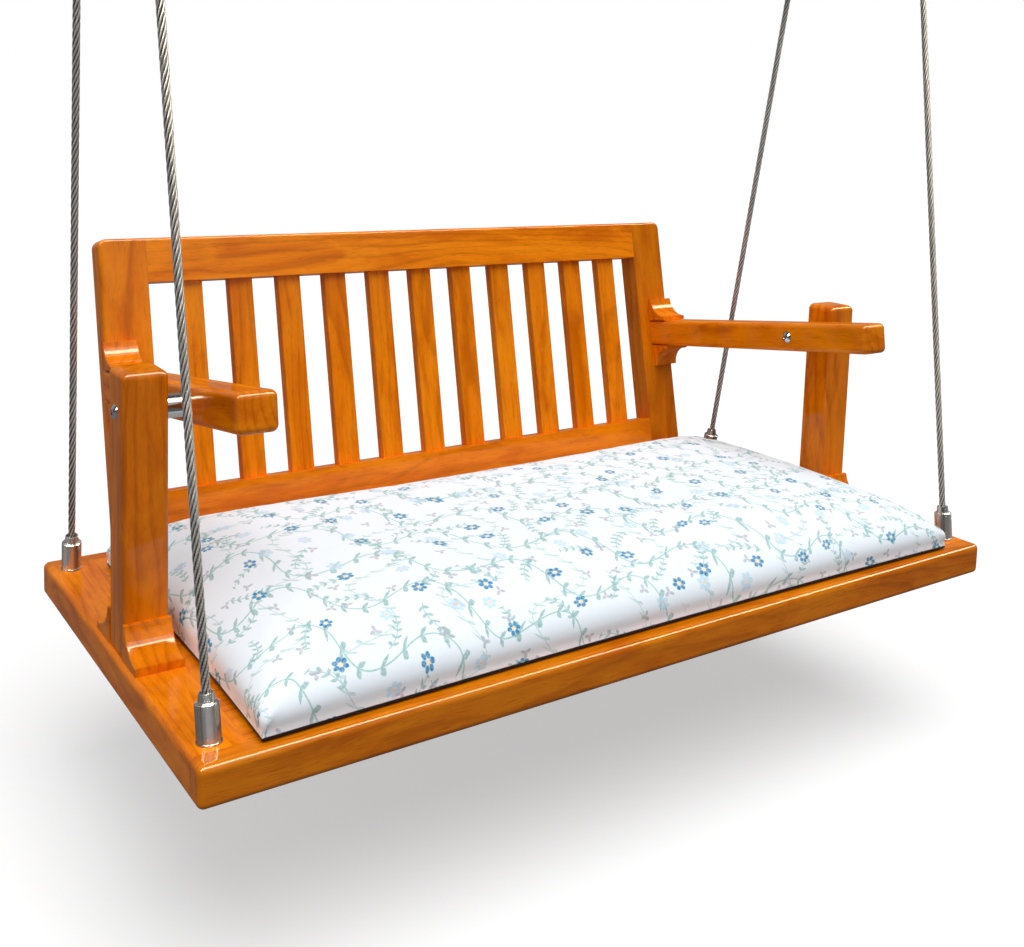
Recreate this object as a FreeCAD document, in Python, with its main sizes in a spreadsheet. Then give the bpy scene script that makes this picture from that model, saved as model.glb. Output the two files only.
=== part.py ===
"""A wooden jhoola: a bench seat on four steel ropes, with a back that flips over the seat.

The swing hangs from the ceiling plane. The origin is the middle of the four ceiling plates, on
their upper faces, with +Z up, +Y to the back of the seat and +X to the right as seen from the
front. The pieces are drawn from the top of the deck, which hangs hang_height below the origin.
Lengths are in millimetres and angles in degrees.
"""

import FreeCAD
import Part
import Sketcher
import os
from math import atan2, cos, degrees, pi, radians, sin, sqrt, tan

Vector = FreeCAD.Vector
Rotation = FreeCAD.Rotation
Placement = FreeCAD.Placement
ORIGIN = Vector(0, 0, 0)
X_AXIS = Vector(1, 0, 0)
Y_AXIS = Vector(0, 1, 0)
Z_AXIS = Vector(0, 0, 1)
SIDES = {"left": -1, "right": 1}
ENDS = {"front": -1, "rear": 1}
TINY_SHARE = 0.000001
NEAR = 0.001
ROUGH = 1.0
FULL_TURN = 360
# Where a quarter circle's middle lies, as a share of its radius, along each of its two legs
HOLLOW_SHARE = 0.7071

# Driving dimensions: each can be changed by itself
DRIVING = {
    # Deck
    "deck_length": 1220,
    "deck_depth": 610,
    "deck_thickness": 45,
    "deck_rounding": 8,
    "side_board_width": 60,
    "edge_rail_width": 25,
    "plank_thickness": 22,
    "plank_count": 5,
    "plank_joint": 1,
    "plank_rounding": 1.5,
    "batten_width": 60,
    "batten_thickness": 18,
    "batten_span_share": 0.36,
    # Hanging
    "hang_height": 980,
    "apex_height": 1804,
    "rope_splay": 35.7,
    "rope_radius": 4.75,
    "rope_side_inset": 26.7,
    "rope_end_inset": 45,
    "bar_depth": 30,
    "bar_radius": 5,
    "staple_half_width": 18,
    "staple_bend": 10,
    "plate_width": 50,
    "plate_length": 92,
    "plate_thickness": 5,
    "plate_rounding": 6,
    "plate_hole_radius": 3.3,
    "plate_hole_spread_x": 32,
    "plate_hole_spread_y": 70,
    "eye_inner_radius": 15,
    "eye_wire_radius": 3.5,
    "eye_rest_gap": 0.9,
    "sleeve_wall": 3.25,
    "sleeve_length": 42,
    # Rope socket on the deck
    "ball_shoulder": 2.85,
    "ball_gap": 0.3,
    "ball_drop": 7,
    "mouth_gap": 1.75,
    "cavity_gap": 0.6,
    "cavity_floor_gap": 1.2,
    "socket_wall": 4.3,
    "socket_height": 40,
    "socket_bevel": 1.2,
    "collar_wall": 1.5,
    "collar_flare": 0.8,
    "collar_height": 9,
    "rim_reach": 0.9,
    "rim_height": 2.4,
    "stud_radius": 4,
    "stud_projection": 12,
    "washer_radius": 12,
    "washer_thickness": 2,
    "nut_across_flats": 13,
    "nut_height": 6.5,
    # Post
    "post_width": 52.5,
    "post_depth": 54,
    "post_height": 328.6,
    "post_side_inset": 6.3,
    "post_ahead": 17.6,
    "post_rounding": 6,
    "post_top_rounding": 9,
    "cove_reach": 48.5,
    "cove_rise": 42.3,
    "cove_toe": 10,
    "cove_lip": 6,
    "cove_proud": 1.2,
    "cove_rounding": 2,
    "screw_radius": 3,
    "screw_head_radius": 6,
    "screw_head_height": 4,
    "screw_bite": 45,
    "screw_spread": 22,
    # Pivot between post and arm
    "pivot_drop": 48.6,
    "pivot_gap": 27.3,
    "bolt_radius": 5,
    "bolt_head_radius": 9,
    "bolt_head_height": 5,
    "bolt_key_across_flats": 6,
    "bolt_key_depth": 3,
    "hub_radius": 14,
    "barrel_radius": 7,
    "bolt_thread_share": 0.55,
    "bush_radius": 9.5,
    "bush_flange_radius": 17.5,
    "bush_flange_thickness": 2.5,
    "running_gap": 0.3,
    "turning_fit": 0.05,
    "snug_fit": 0.05,
    # Arm
    "arm_width": 49,
    "arm_height": 46,
    "arm_overhang": 159.5,
    "arm_slope": 8.28,
    "arm_rounding": 8,
    "bracket_reach": 40,
    "bracket_rise": 38,
    "bracket_toe": 7,
    "bracket_lip": 7,
    "bracket_rounding": 2,
    # Back frame
    "stile_inset": 4.7,
    "back_foot_inset": 42.1,
    "back_lean": 12.46,
    "back_length": 443.5,
    "back_thickness": 38,
    "back_rounding": 5,
    "back_corner_rounding": 12,
    "foot_gap": 0.3,
    "stile_width": 67.3,
    "top_rail_height": 64.5,
    "bottom_rail_height": 65,
    "bottom_rail_rise": 16.5,
    "tenon_length": 30,
    "tenon_thickness": 14,
    "tenon_shoulder": 10,
    "arm_tenon_length": 20,
    "arm_tenon_width": 27,
    "arm_tenon_height": 26,
    "slat_count": 11,
    "slat_width": 36.5,
    "slat_thickness": 17.5,
    "slat_setback": 8,
    "slat_end_gap": 45.15,
    "slat_rounding": 1.5,
    "slat_tenon_length": 12,
    "slat_tenon_thickness": 9,
    "slat_tenon_shoulder": 4,
    "mortise_fit": 0.2,
    # Cushion
    "cushion_side_gap": 1.2,
    "cushion_front_inset": 4,
    "cushion_back_gap": 11.9,
    "cushion_height": 88,
    "cushion_seam_height": 15,
    "cushion_draw_in": 7,
    "cushion_corner": 14,
}

# Shares that give the cushion's outline at each height: height from the seam to the crown,
# inset of the outline from the seam, bow of its sides outwards and size of its corners
CUSHION_UNDER_SHARES = ((0.0, 0.025, -0.3, 1.0), (0.45, 0.006, -0.8, 1.0))
CUSHION_OVER_SHARES = (
    (0.00, 0.000, -1.0, 1.0),
    (0.20, 0.008, -0.7, 1.4),
    (0.38, 0.021, -0.2, 1.9),
    (0.54, 0.042, 0.4, 2.5),
    (0.68, 0.076, 1.0, 3.2),
    (0.80, 0.120, 1.4, 4.0),
    (0.90, 0.172, 1.7, 4.8),
    (0.97, 0.232, 1.9, 5.4),
    (1.00, 0.300, 2.0, 5.8),
)

doc = FreeCAD.newDocument("Jhoola")
sheet = doc.addObject("Spreadsheet::Sheet", "Sizes")


def put(values):
    """Write named values to the sheet, one row each, as plain numbers with an alias."""
    for name, value in values.items():
        row = len(sizes) + 1
        sizes[name] = value
        sheet.set(f"A{row}", name)
        sheet.set(f"B{row}", repr(value))
        sheet.setAlias(f"B{row}", name)


sizes = {}
put(DRIVING)


class Named:
    """Reads a value of the sheet by its name."""

    def __getattr__(self, name):
        return sizes[name]


S = Named()

# Sizes and places worked out from the driving dimensions, from the middle of the deck's top
lean = radians(S.back_lean)
slope = radians(S.arm_slope)
rope_x = S.deck_length / 2 - S.rope_side_inset
rope_y = S.deck_depth / 2 - S.rope_end_inset
rope_run_x = S.rope_splay / S.apex_height
rope_run_y = -rope_y / S.apex_height
rope_stretch = sqrt(1 + rope_run_x ** 2 + rope_run_y ** 2)
post_x = S.deck_length / 2 - S.post_side_inset - S.post_width / 2
post_inner = post_x - S.post_width / 2
post_outer = post_x + S.post_width / 2
pivot_height = S.post_height - S.pivot_drop
arm_outer = post_inner - S.pivot_gap
arm_inner = arm_outer - S.arm_width
arm_x = arm_outer - S.arm_width / 2
back_width = 2 * (arm_outer - S.stile_inset)
back_foot_depth = S.deck_depth / 2 - S.back_foot_inset
# The back's front face lies back_offset behind the pivot, square to the face
back_offset = cos(lean) * (back_foot_depth + S.post_ahead) + sin(lean) * pivot_height
arm_reach = back_offset / cos(lean - slope)
arm_meets = (sin(lean) * (-S.post_ahead + arm_reach * cos(slope) - back_foot_depth)
             + cos(lean) * (pivot_height - arm_reach * sin(slope)))
# The stiles' square feet rest on the rounded rear edge of the deck
foot_start = (S.foot_gap + S.deck_rounding * (1 - cos(lean))
              + (S.deck_depth / 2 - S.deck_rounding - back_foot_depth) * sin(lean))
top_rail_start = S.back_length - S.top_rail_height
bottom_rail_top = S.bottom_rail_rise + S.bottom_rail_height
rail_length = back_width - 2 * S.stile_width
slat_length = top_rail_start - bottom_rail_top
slat_pitch = (rail_length - 2 * S.slat_end_gap - S.slat_width) / (S.slat_count - 1)
batten_length = S.deck_depth - 2 * S.edge_rail_width
plank_width = (batten_length - (S.plank_count - 1) * S.plank_joint) / S.plank_count
put({
    "rope_x": rope_x,
    "rope_y": rope_y,
    "post_x": post_x,
    "pivot_height": pivot_height,
    "arm_x": arm_x,
    "arm_reach": arm_reach,
    "arm_meets": arm_meets,
    "back_width": back_width,
    "back_foot_depth": back_foot_depth,
    "foot_start": foot_start,
    "top_rail_start": top_rail_start,
    "bottom_rail_top": bottom_rail_top,
    "rail_length": rail_length,
    "slat_length": slat_length,
    "slat_pitch": slat_pitch,
})
doc.recompute()

parts = []


def keep(piece, label):
    """Give a finished sub-part its node name and add it to the parts that are written."""
    piece.Label = label
    parts.append(piece)
    return piece


def place(piece, x="0", y="0", z="0", turn="0", axis="1; 0; 0"):
    """Bind a piece's place, given from the deck's top, to the sheet."""
    point = f"vector({x}; {y}; {z} - Sizes.hang_height)"
    piece.setExpression("Placement", f"placement({point}; rotation(vector({axis}); {turn}))")


def on_back(piece, x="0", depth="0", rise="0"):
    """Bind a piece to the leaning back: across, behind its front face and up its slope."""
    y = f"Sizes.back_foot_depth + ({rise}) * sin(Sizes.back_lean) + ({depth}) * cos(Sizes.back_lean)"
    z = f"({rise}) * cos(Sizes.back_lean) - ({depth}) * sin(Sizes.back_lean)"
    place(piece, x, y, z, "-Sizes.back_lean")


def new_body(name):
    return doc.addObject("PartDesign::Body", name)


def sketch_on(body, role):
    """A sketch on one of the body's own origin planes."""
    sketch = body.newObject("Sketcher::SketchObject", body.Name + "_sketch")
    plane = next(item for item in body.Origin.OriginFeatures if item.Role == role)
    sketch.AttachmentSupport = [(plane, "")]
    sketch.MapMode = "FlatFace"
    return sketch


def bind(sketch, kind, element, point, value):
    """Set one coordinate of a point, or hold the point on the axis where it is zero."""
    if value == "0":
        axis = -2 if kind == "DistanceX" else -1
        sketch.addConstraint(Sketcher.Constraint("PointOnObject", element, point, axis))
        return
    index = sketch.addConstraint(Sketcher.Constraint(kind, -1, 1, element, point, ROUGH))
    sketch.setExpression(f"Constraints[{index}]", value)


def draw_polygon(sketch, corners):
    """A closed outline whose corners are pairs of expressions."""
    count = len(corners)
    first = sketch.GeometryCount
    turns = [2 * pi * i / count for i in range(count)]
    rough = [Vector(cos(turn), sin(turn), 0) for turn in turns]
    for i in range(count):
        sketch.addGeometry(Part.LineSegment(rough[i], rough[(i + 1) % count]), False)
    for i in range(count):
        following = first + (i + 1) % count
        sketch.addConstraint(Sketcher.Constraint("Coincident", first + i, 2, following, 1))
    for i, (across, up) in enumerate(corners):
        bind(sketch, "DistanceX", first + i, 1, across)
        bind(sketch, "DistanceY", first + i, 1, up)


def draw_rectangle(sketch, left, right, bottom, top):
    draw_polygon(sketch, [(left, bottom), (right, bottom), (right, top), (left, top)])


def draw_circle(sketch, across, up, radius):
    index = sketch.addGeometry(Part.Circle(ORIGIN, Z_AXIS, ROUGH), False)
    bind(sketch, "DistanceX", index, 3, across)
    bind(sketch, "DistanceY", index, 3, up)
    constraint = sketch.addConstraint(Sketcher.Constraint("Radius", index, ROUGH))
    sketch.setExpression(f"Constraints[{constraint}]", radius)


def pad(body, sketch, length, centred=False, backwards=False):
    feature = body.newObject("PartDesign::Pad", body.Name + "_pad")
    feature.Profile = sketch
    feature.Midplane = centred
    feature.Reversed = backwards
    feature.setExpression("Length", length)
    sketch.Visibility = False
    doc.recompute()
    return feature


def cut(body, sketch, depth=None, backwards=False):
    """Cut a sketch out of a body, right through where no depth is given."""
    before = body.Shape.Volume
    feature = body.newObject("PartDesign::Pocket", body.Name + "_pocket")
    feature.Profile = sketch
    feature.Reversed = backwards
    if depth is None:
        feature.Type = "ThroughAll"
        feature.Midplane = True
    else:
        feature.setExpression("Length", depth)
    doc.recompute()
    if not feature.Shape.Volume < before - NEAR:
        raise RuntimeError(f"{feature.Name} cuts nothing")
    return feature


def round_edges(body, radius, wanted):
    """Round the edges of a body's last feature for which wanted(edge) is true."""
    base = body.Tip
    names = [f"Edge{i + 1}" for i, edge in enumerate(base.Shape.Edges) if wanted(edge)]
    feature = body.newObject("PartDesign::Fillet", body.Name + "_round")
    feature.Base = (base, names)
    feature.setExpression("Radius", radius)
    doc.recompute()
    return feature


def middle(edge):
    return edge.valueAt((edge.FirstParameter + edge.LastParameter) / 2)


def along(edge, axis):
    """Whether an edge is straight and runs along an axis."""
    if edge.Curve.TypeId != "Part::GeomLine":
        return False
    return abs(abs(edge.Curve.Direction.dot(axis)) - 1) < TINY_SHARE


def outside(edge, limits):
    """Whether the middle of an edge lies on one of the given coordinates."""
    spot = middle(edge)
    return any(abs(getattr(spot, axis) - value) < NEAR for axis, value in limits)


def block(label, width, depth, height, centred="xy"):
    """A body that is one padded rectangle, from its lower face, or centred where asked."""
    body = new_body(label)
    sketch = sketch_on(body, "XY_Plane")
    left, right = (f"-{width} / 2", f"{width} / 2") if "x" in centred else ("0", width)
    near, far = (f"-{depth} / 2", f"{depth} / 2") if "y" in centred else ("0", depth)
    draw_rectangle(sketch, left, right, near, far)
    pad(body, sketch, height, centred="z" in centred)
    return keep(body, label)


def soften(shape, radius, wanted):
    """Round a plain shape's edges for which wanted(edge) is true."""
    return shape.makeFillet(radius, [edge for edge in shape.Edges if wanted(edge)])


def feature(label, shape):
    """A sub-part whose shape is made from curves, placed from the deck's top."""
    piece = doc.addObject("Part::Feature", label)
    piece.Shape = shape
    place(piece)
    return keep(piece, label)


def turned(profile, base, direction):
    """A solid of revolution: (radius, height) pairs from its axis round to its axis again."""
    points = [Vector(radius, 0, height) for radius, height in profile]
    wire = Part.makePolygon(points + [points[0]])
    solid = Part.Face(wire).revolve(ORIGIN, Z_AXIS, FULL_TURN)
    solid.Placement = Placement(base, Rotation(Z_AXIS, direction))
    return solid


def hexagon(across_flats, height, base, direction):
    """A six-sided prism that stands on a point."""
    radius = across_flats / 2 / cos(pi / 6)
    points = [Vector(radius * cos(k * pi / 3), radius * sin(k * pi / 3), 0) for k in range(7)]
    prism = Part.Face(Part.makePolygon(points)).extrude(Z_AXIS * height)
    prism.Placement = Placement(base, Rotation(Z_AXIS, direction))
    return prism


# Deck: two side boards between two edge rails, planks on battens
for side, sign in SIDES.items():
    board = new_body(f"deck_side_board_{side}")
    sketch = sketch_on(board, "XY_Plane")
    outer = f"{sign} * Sizes.deck_length / 2"
    inner = f"{sign} * (Sizes.deck_length / 2 - Sizes.side_board_width)"
    reach = "(Sizes.deck_depth / 2 - Sizes.edge_rail_width)"
    draw_rectangle(sketch, inner, outer, f"-{reach}", reach)
    pad(board, sketch, "Sizes.deck_thickness", backwards=True)
    drill = sketch_on(board, "XY_Plane")
    for end in ENDS.values():
        draw_circle(drill, f"{sign} * Sizes.rope_x", f"{end} * Sizes.rope_y",
                    "Sizes.stud_radius + Sizes.snug_fit")
        draw_circle(drill, f"{sign} * Sizes.post_x",
                    f"{end} * Sizes.screw_spread / 2 - Sizes.post_ahead",
                    "Sizes.screw_radius + Sizes.snug_fit")
    cut(board, drill)
    sink = sketch_on(board, "XY_Plane")
    sink.AttachmentOffset = Placement(Vector(0, 0, -S.deck_thickness), Rotation())
    sink.setExpression("AttachmentOffset.Base.z", "-Sizes.deck_thickness")
    for end in ENDS.values():
        draw_circle(sink, f"{sign} * Sizes.post_x",
                    f"{end} * Sizes.screw_spread / 2 - Sizes.post_ahead",
                    "Sizes.screw_head_radius + Sizes.snug_fit")
    cut(board, sink, "Sizes.screw_head_height + Sizes.snug_fit", backwards=True)
    round_edges(board, "Sizes.deck_rounding",
                lambda edge: along(edge, Y_AXIS) and outside(edge, [("x", sign * S.deck_length / 2)]))
    place(board)
    keep(board, f"deck_side_board_{side}")

for end, sign in (("front", -1), ("back", 1)):
    rail = new_body(f"deck_{end}_rail")
    sketch = sketch_on(rail, "XY_Plane")
    draw_rectangle(sketch, "-Sizes.deck_length / 2", "Sizes.deck_length / 2",
                   f"{sign} * (Sizes.deck_depth / 2 - Sizes.edge_rail_width)",
                   f"{sign} * Sizes.deck_depth / 2")
    pad(rail, sketch, "Sizes.deck_thickness", backwards=True)
    edges = [("x", S.deck_length / 2), ("x", -S.deck_length / 2), ("y", sign * S.deck_depth / 2)]
    inner_y = sign * (S.deck_depth / 2 - S.edge_rail_width)
    round_edges(rail, "Sizes.deck_rounding",
                lambda edge: outside(edge, edges) and not outside(edge, [("y", inner_y)]))
    place(rail)
    keep(rail, f"deck_{end}_rail")

planks = []
for index in range(int(S.plank_count)):
    plank = Part.makeBox(S.deck_length - 2 * S.side_board_width, plank_width, S.plank_thickness)
    plank = soften(plank, S.plank_rounding, lambda edge: along(edge, X_AXIS)
                   and outside(edge, [("z", S.plank_thickness)]))
    near = index * (plank_width + S.plank_joint) - batten_length / 2
    plank.translate(Vector(S.side_board_width - S.deck_length / 2, near, -S.plank_thickness))
    planks.append(plank)
feature("seat_planks", Part.makeCompound(planks))

battens = []
for step in (-1, 0, 1):
    batten = Part.makeBox(S.batten_width, batten_length, S.batten_thickness)
    across = step * S.batten_span_share * S.deck_length - S.batten_width / 2
    under = S.plank_thickness + S.batten_thickness
    batten.translate(Vector(across, -batten_length / 2, -under))
    battens.append(batten)
feature("deck_battens", Part.makeCompound(battens))


# Posts with their coves
def cove(corner, out, up, toe_way, lip_way, shape, width):
    """A block with a hollow quarter in the corner between two legs, drawn in side view.

    It runs from the corner out along one leg and up the other. Its toe stands up from the end
    of the first leg and its lip stands out from the end of the second.
    """
    reach, rise, toe, lip = shape
    start = corner + out * reach
    finish = corner + up * rise
    centre = start + up * rise
    toe_top = start + toe_way * toe
    lip_front = finish + lip_way * lip
    pull = (toe_top - centre + lip_front - centre) * HOLLOW_SHARE
    edges = [Part.LineSegment(corner, start).toShape(),
             Part.LineSegment(start, toe_top).toShape(),
             Part.Arc(toe_top, centre + pull, lip_front).toShape(),
             Part.LineSegment(lip_front, finish).toShape(),
             Part.LineSegment(finish, corner).toShape()]
    return Part.Face(Part.Wire(edges)).extrude(X_AXIS * width)


def cove_edge(edge):
    """Whether an edge is one of the two curved ones at a cove's ends."""
    return edge.Curve.TypeId != "Part::GeomLine"


for side, sign in SIDES.items():
    post = block(f"post_{side}", "Sizes.post_width", "Sizes.post_depth", "Sizes.post_height")
    bolt_way = sketch_on(post, "YZ_Plane")
    draw_circle(bolt_way, "0", "Sizes.pivot_height", "Sizes.bolt_radius + Sizes.snug_fit")
    cut(post, bolt_way)
    screw_way = sketch_on(post, "XY_Plane")
    for end in ENDS.values():
        draw_circle(screw_way, "0", f"{end} * Sizes.screw_spread / 2",
                    "Sizes.screw_radius + Sizes.snug_fit")
    cut(post, screw_way, "Sizes.screw_bite + Sizes.running_gap", backwards=True)
    round_edges(post, "Sizes.post_rounding", lambda edge: along(edge, Z_AXIS)
                and edge.Length > S.post_height - NEAR)
    round_edges(post, "Sizes.post_top_rounding",
                lambda edge: outside(edge, [("z", S.post_height)]))
    place(post, f"{sign} * Sizes.post_x", "-Sizes.post_ahead")
    width = S.post_width + 2 * S.cove_proud
    shape = (S.cove_reach, S.cove_rise, S.cove_toe, S.cove_lip)
    coves = []
    for end in ENDS.values():
        corner = Vector(sign * post_x - width / 2, -S.post_ahead + end * S.post_depth / 2, 0)
        away = Y_AXIS * end
        blank = cove(corner, away, Z_AXIS, Z_AXIS, away, shape, width)
        coves.append(soften(blank, S.cove_rounding, cove_edge))
    feature(f"post_coves_{side}", Part.makeCompound(coves))

screws = []
for sign in SIDES.values():
    for end in ENDS.values():
        spot = Vector(sign * post_x, end * S.screw_spread / 2 - S.post_ahead, -S.deck_thickness)
        length = S.deck_thickness + S.screw_bite
        screws.append(turned([(0, 0), (S.screw_head_radius, 0),
                              (S.screw_head_radius, S.screw_head_height),
                              (S.screw_radius, S.screw_head_height), (S.screw_radius, length),
                              (0, length)], spot, Z_AXIS))
feature("post_screws", Part.makeCompound(screws))


# Pivots: a bolt through post and hub into a barrel nut, on which the arm's bush turns
def button(radius, height, key_across, key_depth, base, direction):
    """A domed head with a hexagonal key way, standing on a point."""
    bulge = (radius ** 2 + height ** 2) / (2 * height)
    dome = Part.makeSphere(bulge)
    dome.translate(Z_AXIS * (height - bulge))
    head = dome.common(Part.makeCylinder(radius, height))
    key = hexagon(key_across, key_depth, Z_AXIS * (height - key_depth), Z_AXIS)
    head = head.cut(key)
    head.Placement = Placement(base, Rotation(Z_AXIS, direction))
    return head


pivot_bolts, barrel_nuts = [], []
nut_face = arm_inner - S.running_gap
flange_face = arm_outer + S.bush_flange_thickness
hub_face = flange_face + S.running_gap
barrel_length = hub_face - nut_face
hub_length = post_inner - hub_face
bush_length = flange_face - arm_inner
bolt_end = hub_face - barrel_length * S.bolt_thread_share
for side, sign in SIDES.items():
    out = X_AXIS * sign
    pivot = Vector(0, -S.post_ahead, pivot_height)
    shank = Part.makeCylinder(S.bolt_radius, post_outer - bolt_end, pivot + out * bolt_end, out)
    head = button(S.bolt_head_radius, S.bolt_head_height, S.bolt_key_across_flats,
                  S.bolt_key_depth, pivot + out * post_outer, out)
    pivot_bolts.append(shank.fuse(head).removeSplitter())
    bolt_way = Part.makeCylinder(S.bolt_radius + S.snug_fit, post_outer - bolt_end,
                                 pivot + out * (bolt_end - S.running_gap), out)
    barrel = Part.makeCylinder(S.barrel_radius, barrel_length, pivot + out * nut_face, out)
    cap = button(S.bolt_head_radius, S.bolt_head_height, S.bolt_key_across_flats,
                 S.bolt_key_depth, pivot + out * nut_face, -out)
    barrel_nuts.append(barrel.cut(bolt_way).fuse(cap).removeSplitter())
    hub = Part.makeCylinder(S.hub_radius, hub_length, pivot + out * hub_face, out)
    feature(f"pivot_hub_{side}", hub.cut(bolt_way))
    tube = Part.makeCylinder(S.bush_radius, bush_length, pivot + out * arm_inner, out)
    flange = Part.makeCylinder(S.bush_flange_radius, S.bush_flange_thickness,
                               pivot + out * arm_outer, out)
    barrel_way = Part.makeCylinder(S.barrel_radius + S.turning_fit, bush_length,
                                   pivot + out * arm_inner, out)
    feature(f"arm_bush_{side}", tube.fuse(flange).removeSplitter().cut(barrel_way))
feature("pivot_bolts", Part.makeCompound(pivot_bolts))
feature("pivot_barrel_nuts", Part.makeCompound(barrel_nuts))

# Arms: the outline in side view, from the pivot, with the rear end cut to the leaning back
tilt = "(Sizes.back_lean - Sizes.arm_slope)"
for side, sign in SIDES.items():
    arm = new_body(f"arm_{side}")
    sketch = sketch_on(arm, "YZ_Plane")
    rise = "Sizes.arm_height / 2"
    draw_polygon(sketch, [("-Sizes.arm_overhang", f"-{rise}"),
                          (f"Sizes.arm_reach - {rise} * tan({tilt})", f"-{rise}"),
                          (f"Sizes.arm_reach + {rise} * tan({tilt})", rise),
                          ("-Sizes.arm_overhang", rise)])
    pad(arm, sketch, "Sizes.arm_width", centred=True)
    tongue = sketch_on(arm, "YZ_Plane")
    tenon_rise = "Sizes.arm_tenon_height / 2"
    root = "Sizes.arm_reach - Sizes.arm_height"
    low_face = f"Sizes.arm_reach - {tenon_rise} * tan({tilt})"
    high_face = f"Sizes.arm_reach + {tenon_rise} * tan({tilt})"
    push = f"Sizes.arm_tenon_length * cos({tilt})"
    drop = f"Sizes.arm_tenon_length * sin({tilt})"
    draw_polygon(tongue, [(root, f"-{tenon_rise}"), (low_face, f"-{tenon_rise}"),
                          (f"{low_face} + {push}", f"-{tenon_rise} - {drop}"),
                          (f"{high_face} + {push}", f"{tenon_rise} - {drop}"),
                          (high_face, tenon_rise), (root, tenon_rise)])
    pad(arm, tongue, "Sizes.arm_tenon_width", centred=True)
    bore = sketch_on(arm, "YZ_Plane")
    draw_circle(bore, "0", "0", "Sizes.bush_radius + Sizes.snug_fit")
    cut(arm, bore)
    front = -S.arm_overhang
    round_edges(arm, "Sizes.arm_rounding",
                lambda edge: outside(edge, [("y", front)])
                or (along(edge, Y_AXIS) and outside(edge, [("x", S.arm_width / 2),
                                                           ("x", -S.arm_width / 2)])))
    place(arm, f"{sign} * Sizes.arm_x", "-Sizes.post_ahead", "Sizes.pivot_height",
          "-Sizes.arm_slope")
    keep(arm, f"arm_{side}")

# Brackets in the corners between arm and back, above and below
forward = Vector(0, -cos(slope), sin(slope))
arm_up = Vector(0, sin(slope), cos(slope))
back_up = Vector(0, sin(lean), cos(lean))
back_out = Vector(0, -cos(lean), sin(lean))
bracket_shape = (S.bracket_reach, S.bracket_rise, S.bracket_toe, S.bracket_lip)
for side, sign in SIDES.items():
    for level, way in (("upper", 1), ("lower", -1)):
        rise = way * S.arm_height / 2
        distance = arm_reach + rise * tan(lean - slope)
        corner = (Vector(sign * arm_x - S.arm_width / 2, -S.post_ahead, pivot_height)
                  - forward * distance + arm_up * rise)
        blank = cove(corner, forward, back_up * way, arm_up * way, back_out, bracket_shape,
                     S.arm_width)
        feature(f"arm_bracket_{level}_{side}", soften(blank, S.bracket_rounding, cove_edge))

# Back frame: two stiles, two rails tenoned between them, and the slats
shoulder = "Sizes.tenon_shoulder"
inset = "(Sizes.back_thickness - Sizes.tenon_thickness) / 2"
for side, sign in SIDES.items():
    stile = new_body(f"back_stile_{side}")
    sketch = sketch_on(stile, "YZ_Plane")
    draw_rectangle(sketch, "0", "Sizes.back_thickness", "Sizes.foot_start", "Sizes.back_length")
    pad(stile, sketch, "Sizes.stile_width", backwards=sign < 0)
    mortise = sketch_on(stile, "YZ_Plane")
    for low, high in (("Sizes.top_rail_start", "Sizes.back_length"),
                      ("Sizes.bottom_rail_top - Sizes.bottom_rail_height",
                       "Sizes.bottom_rail_top")):
        draw_rectangle(mortise, f"{inset} - Sizes.mortise_fit",
                       f"Sizes.back_thickness - {inset} + Sizes.mortise_fit",
                       f"{low} + {shoulder} - Sizes.mortise_fit",
                       f"{high} - {shoulder} + Sizes.mortise_fit")
    cut(stile, mortise, "Sizes.tenon_length + Sizes.mortise_fit", backwards=sign > 0)
    arm_hole = sketch_on(stile, "XZ_Plane")
    centre = f"({sign} * (Sizes.arm_x - Sizes.back_width / 2 + Sizes.stile_width))"
    half = "(Sizes.arm_tenon_width / 2 + Sizes.mortise_fit)"
    tall = f"(Sizes.arm_tenon_height / 2 / cos({tilt}) + Sizes.mortise_fit)"
    draw_rectangle(arm_hole, f"{centre} - {half}", f"{centre} + {half}",
                   f"Sizes.arm_meets - {tall}", f"Sizes.arm_meets + {tall}")
    cut(stile, arm_hole, "Sizes.arm_tenon_length + Sizes.mortise_fit")
    outer_x = sign * S.stile_width
    round_edges(stile, "Sizes.back_corner_rounding",
                lambda edge: along(edge, Y_AXIS) and outside(edge, [("x", outer_x)])
                and outside(edge, [("z", S.back_length)]))
    round_edges(stile, "Sizes.back_rounding",
                lambda edge: outside(edge, [("x", outer_x)]) and along(edge, Z_AXIS))
    on_back(stile, f"{sign} * (Sizes.back_width / 2 - Sizes.stile_width)")
    keep(stile, f"back_stile_{side}")

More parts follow.
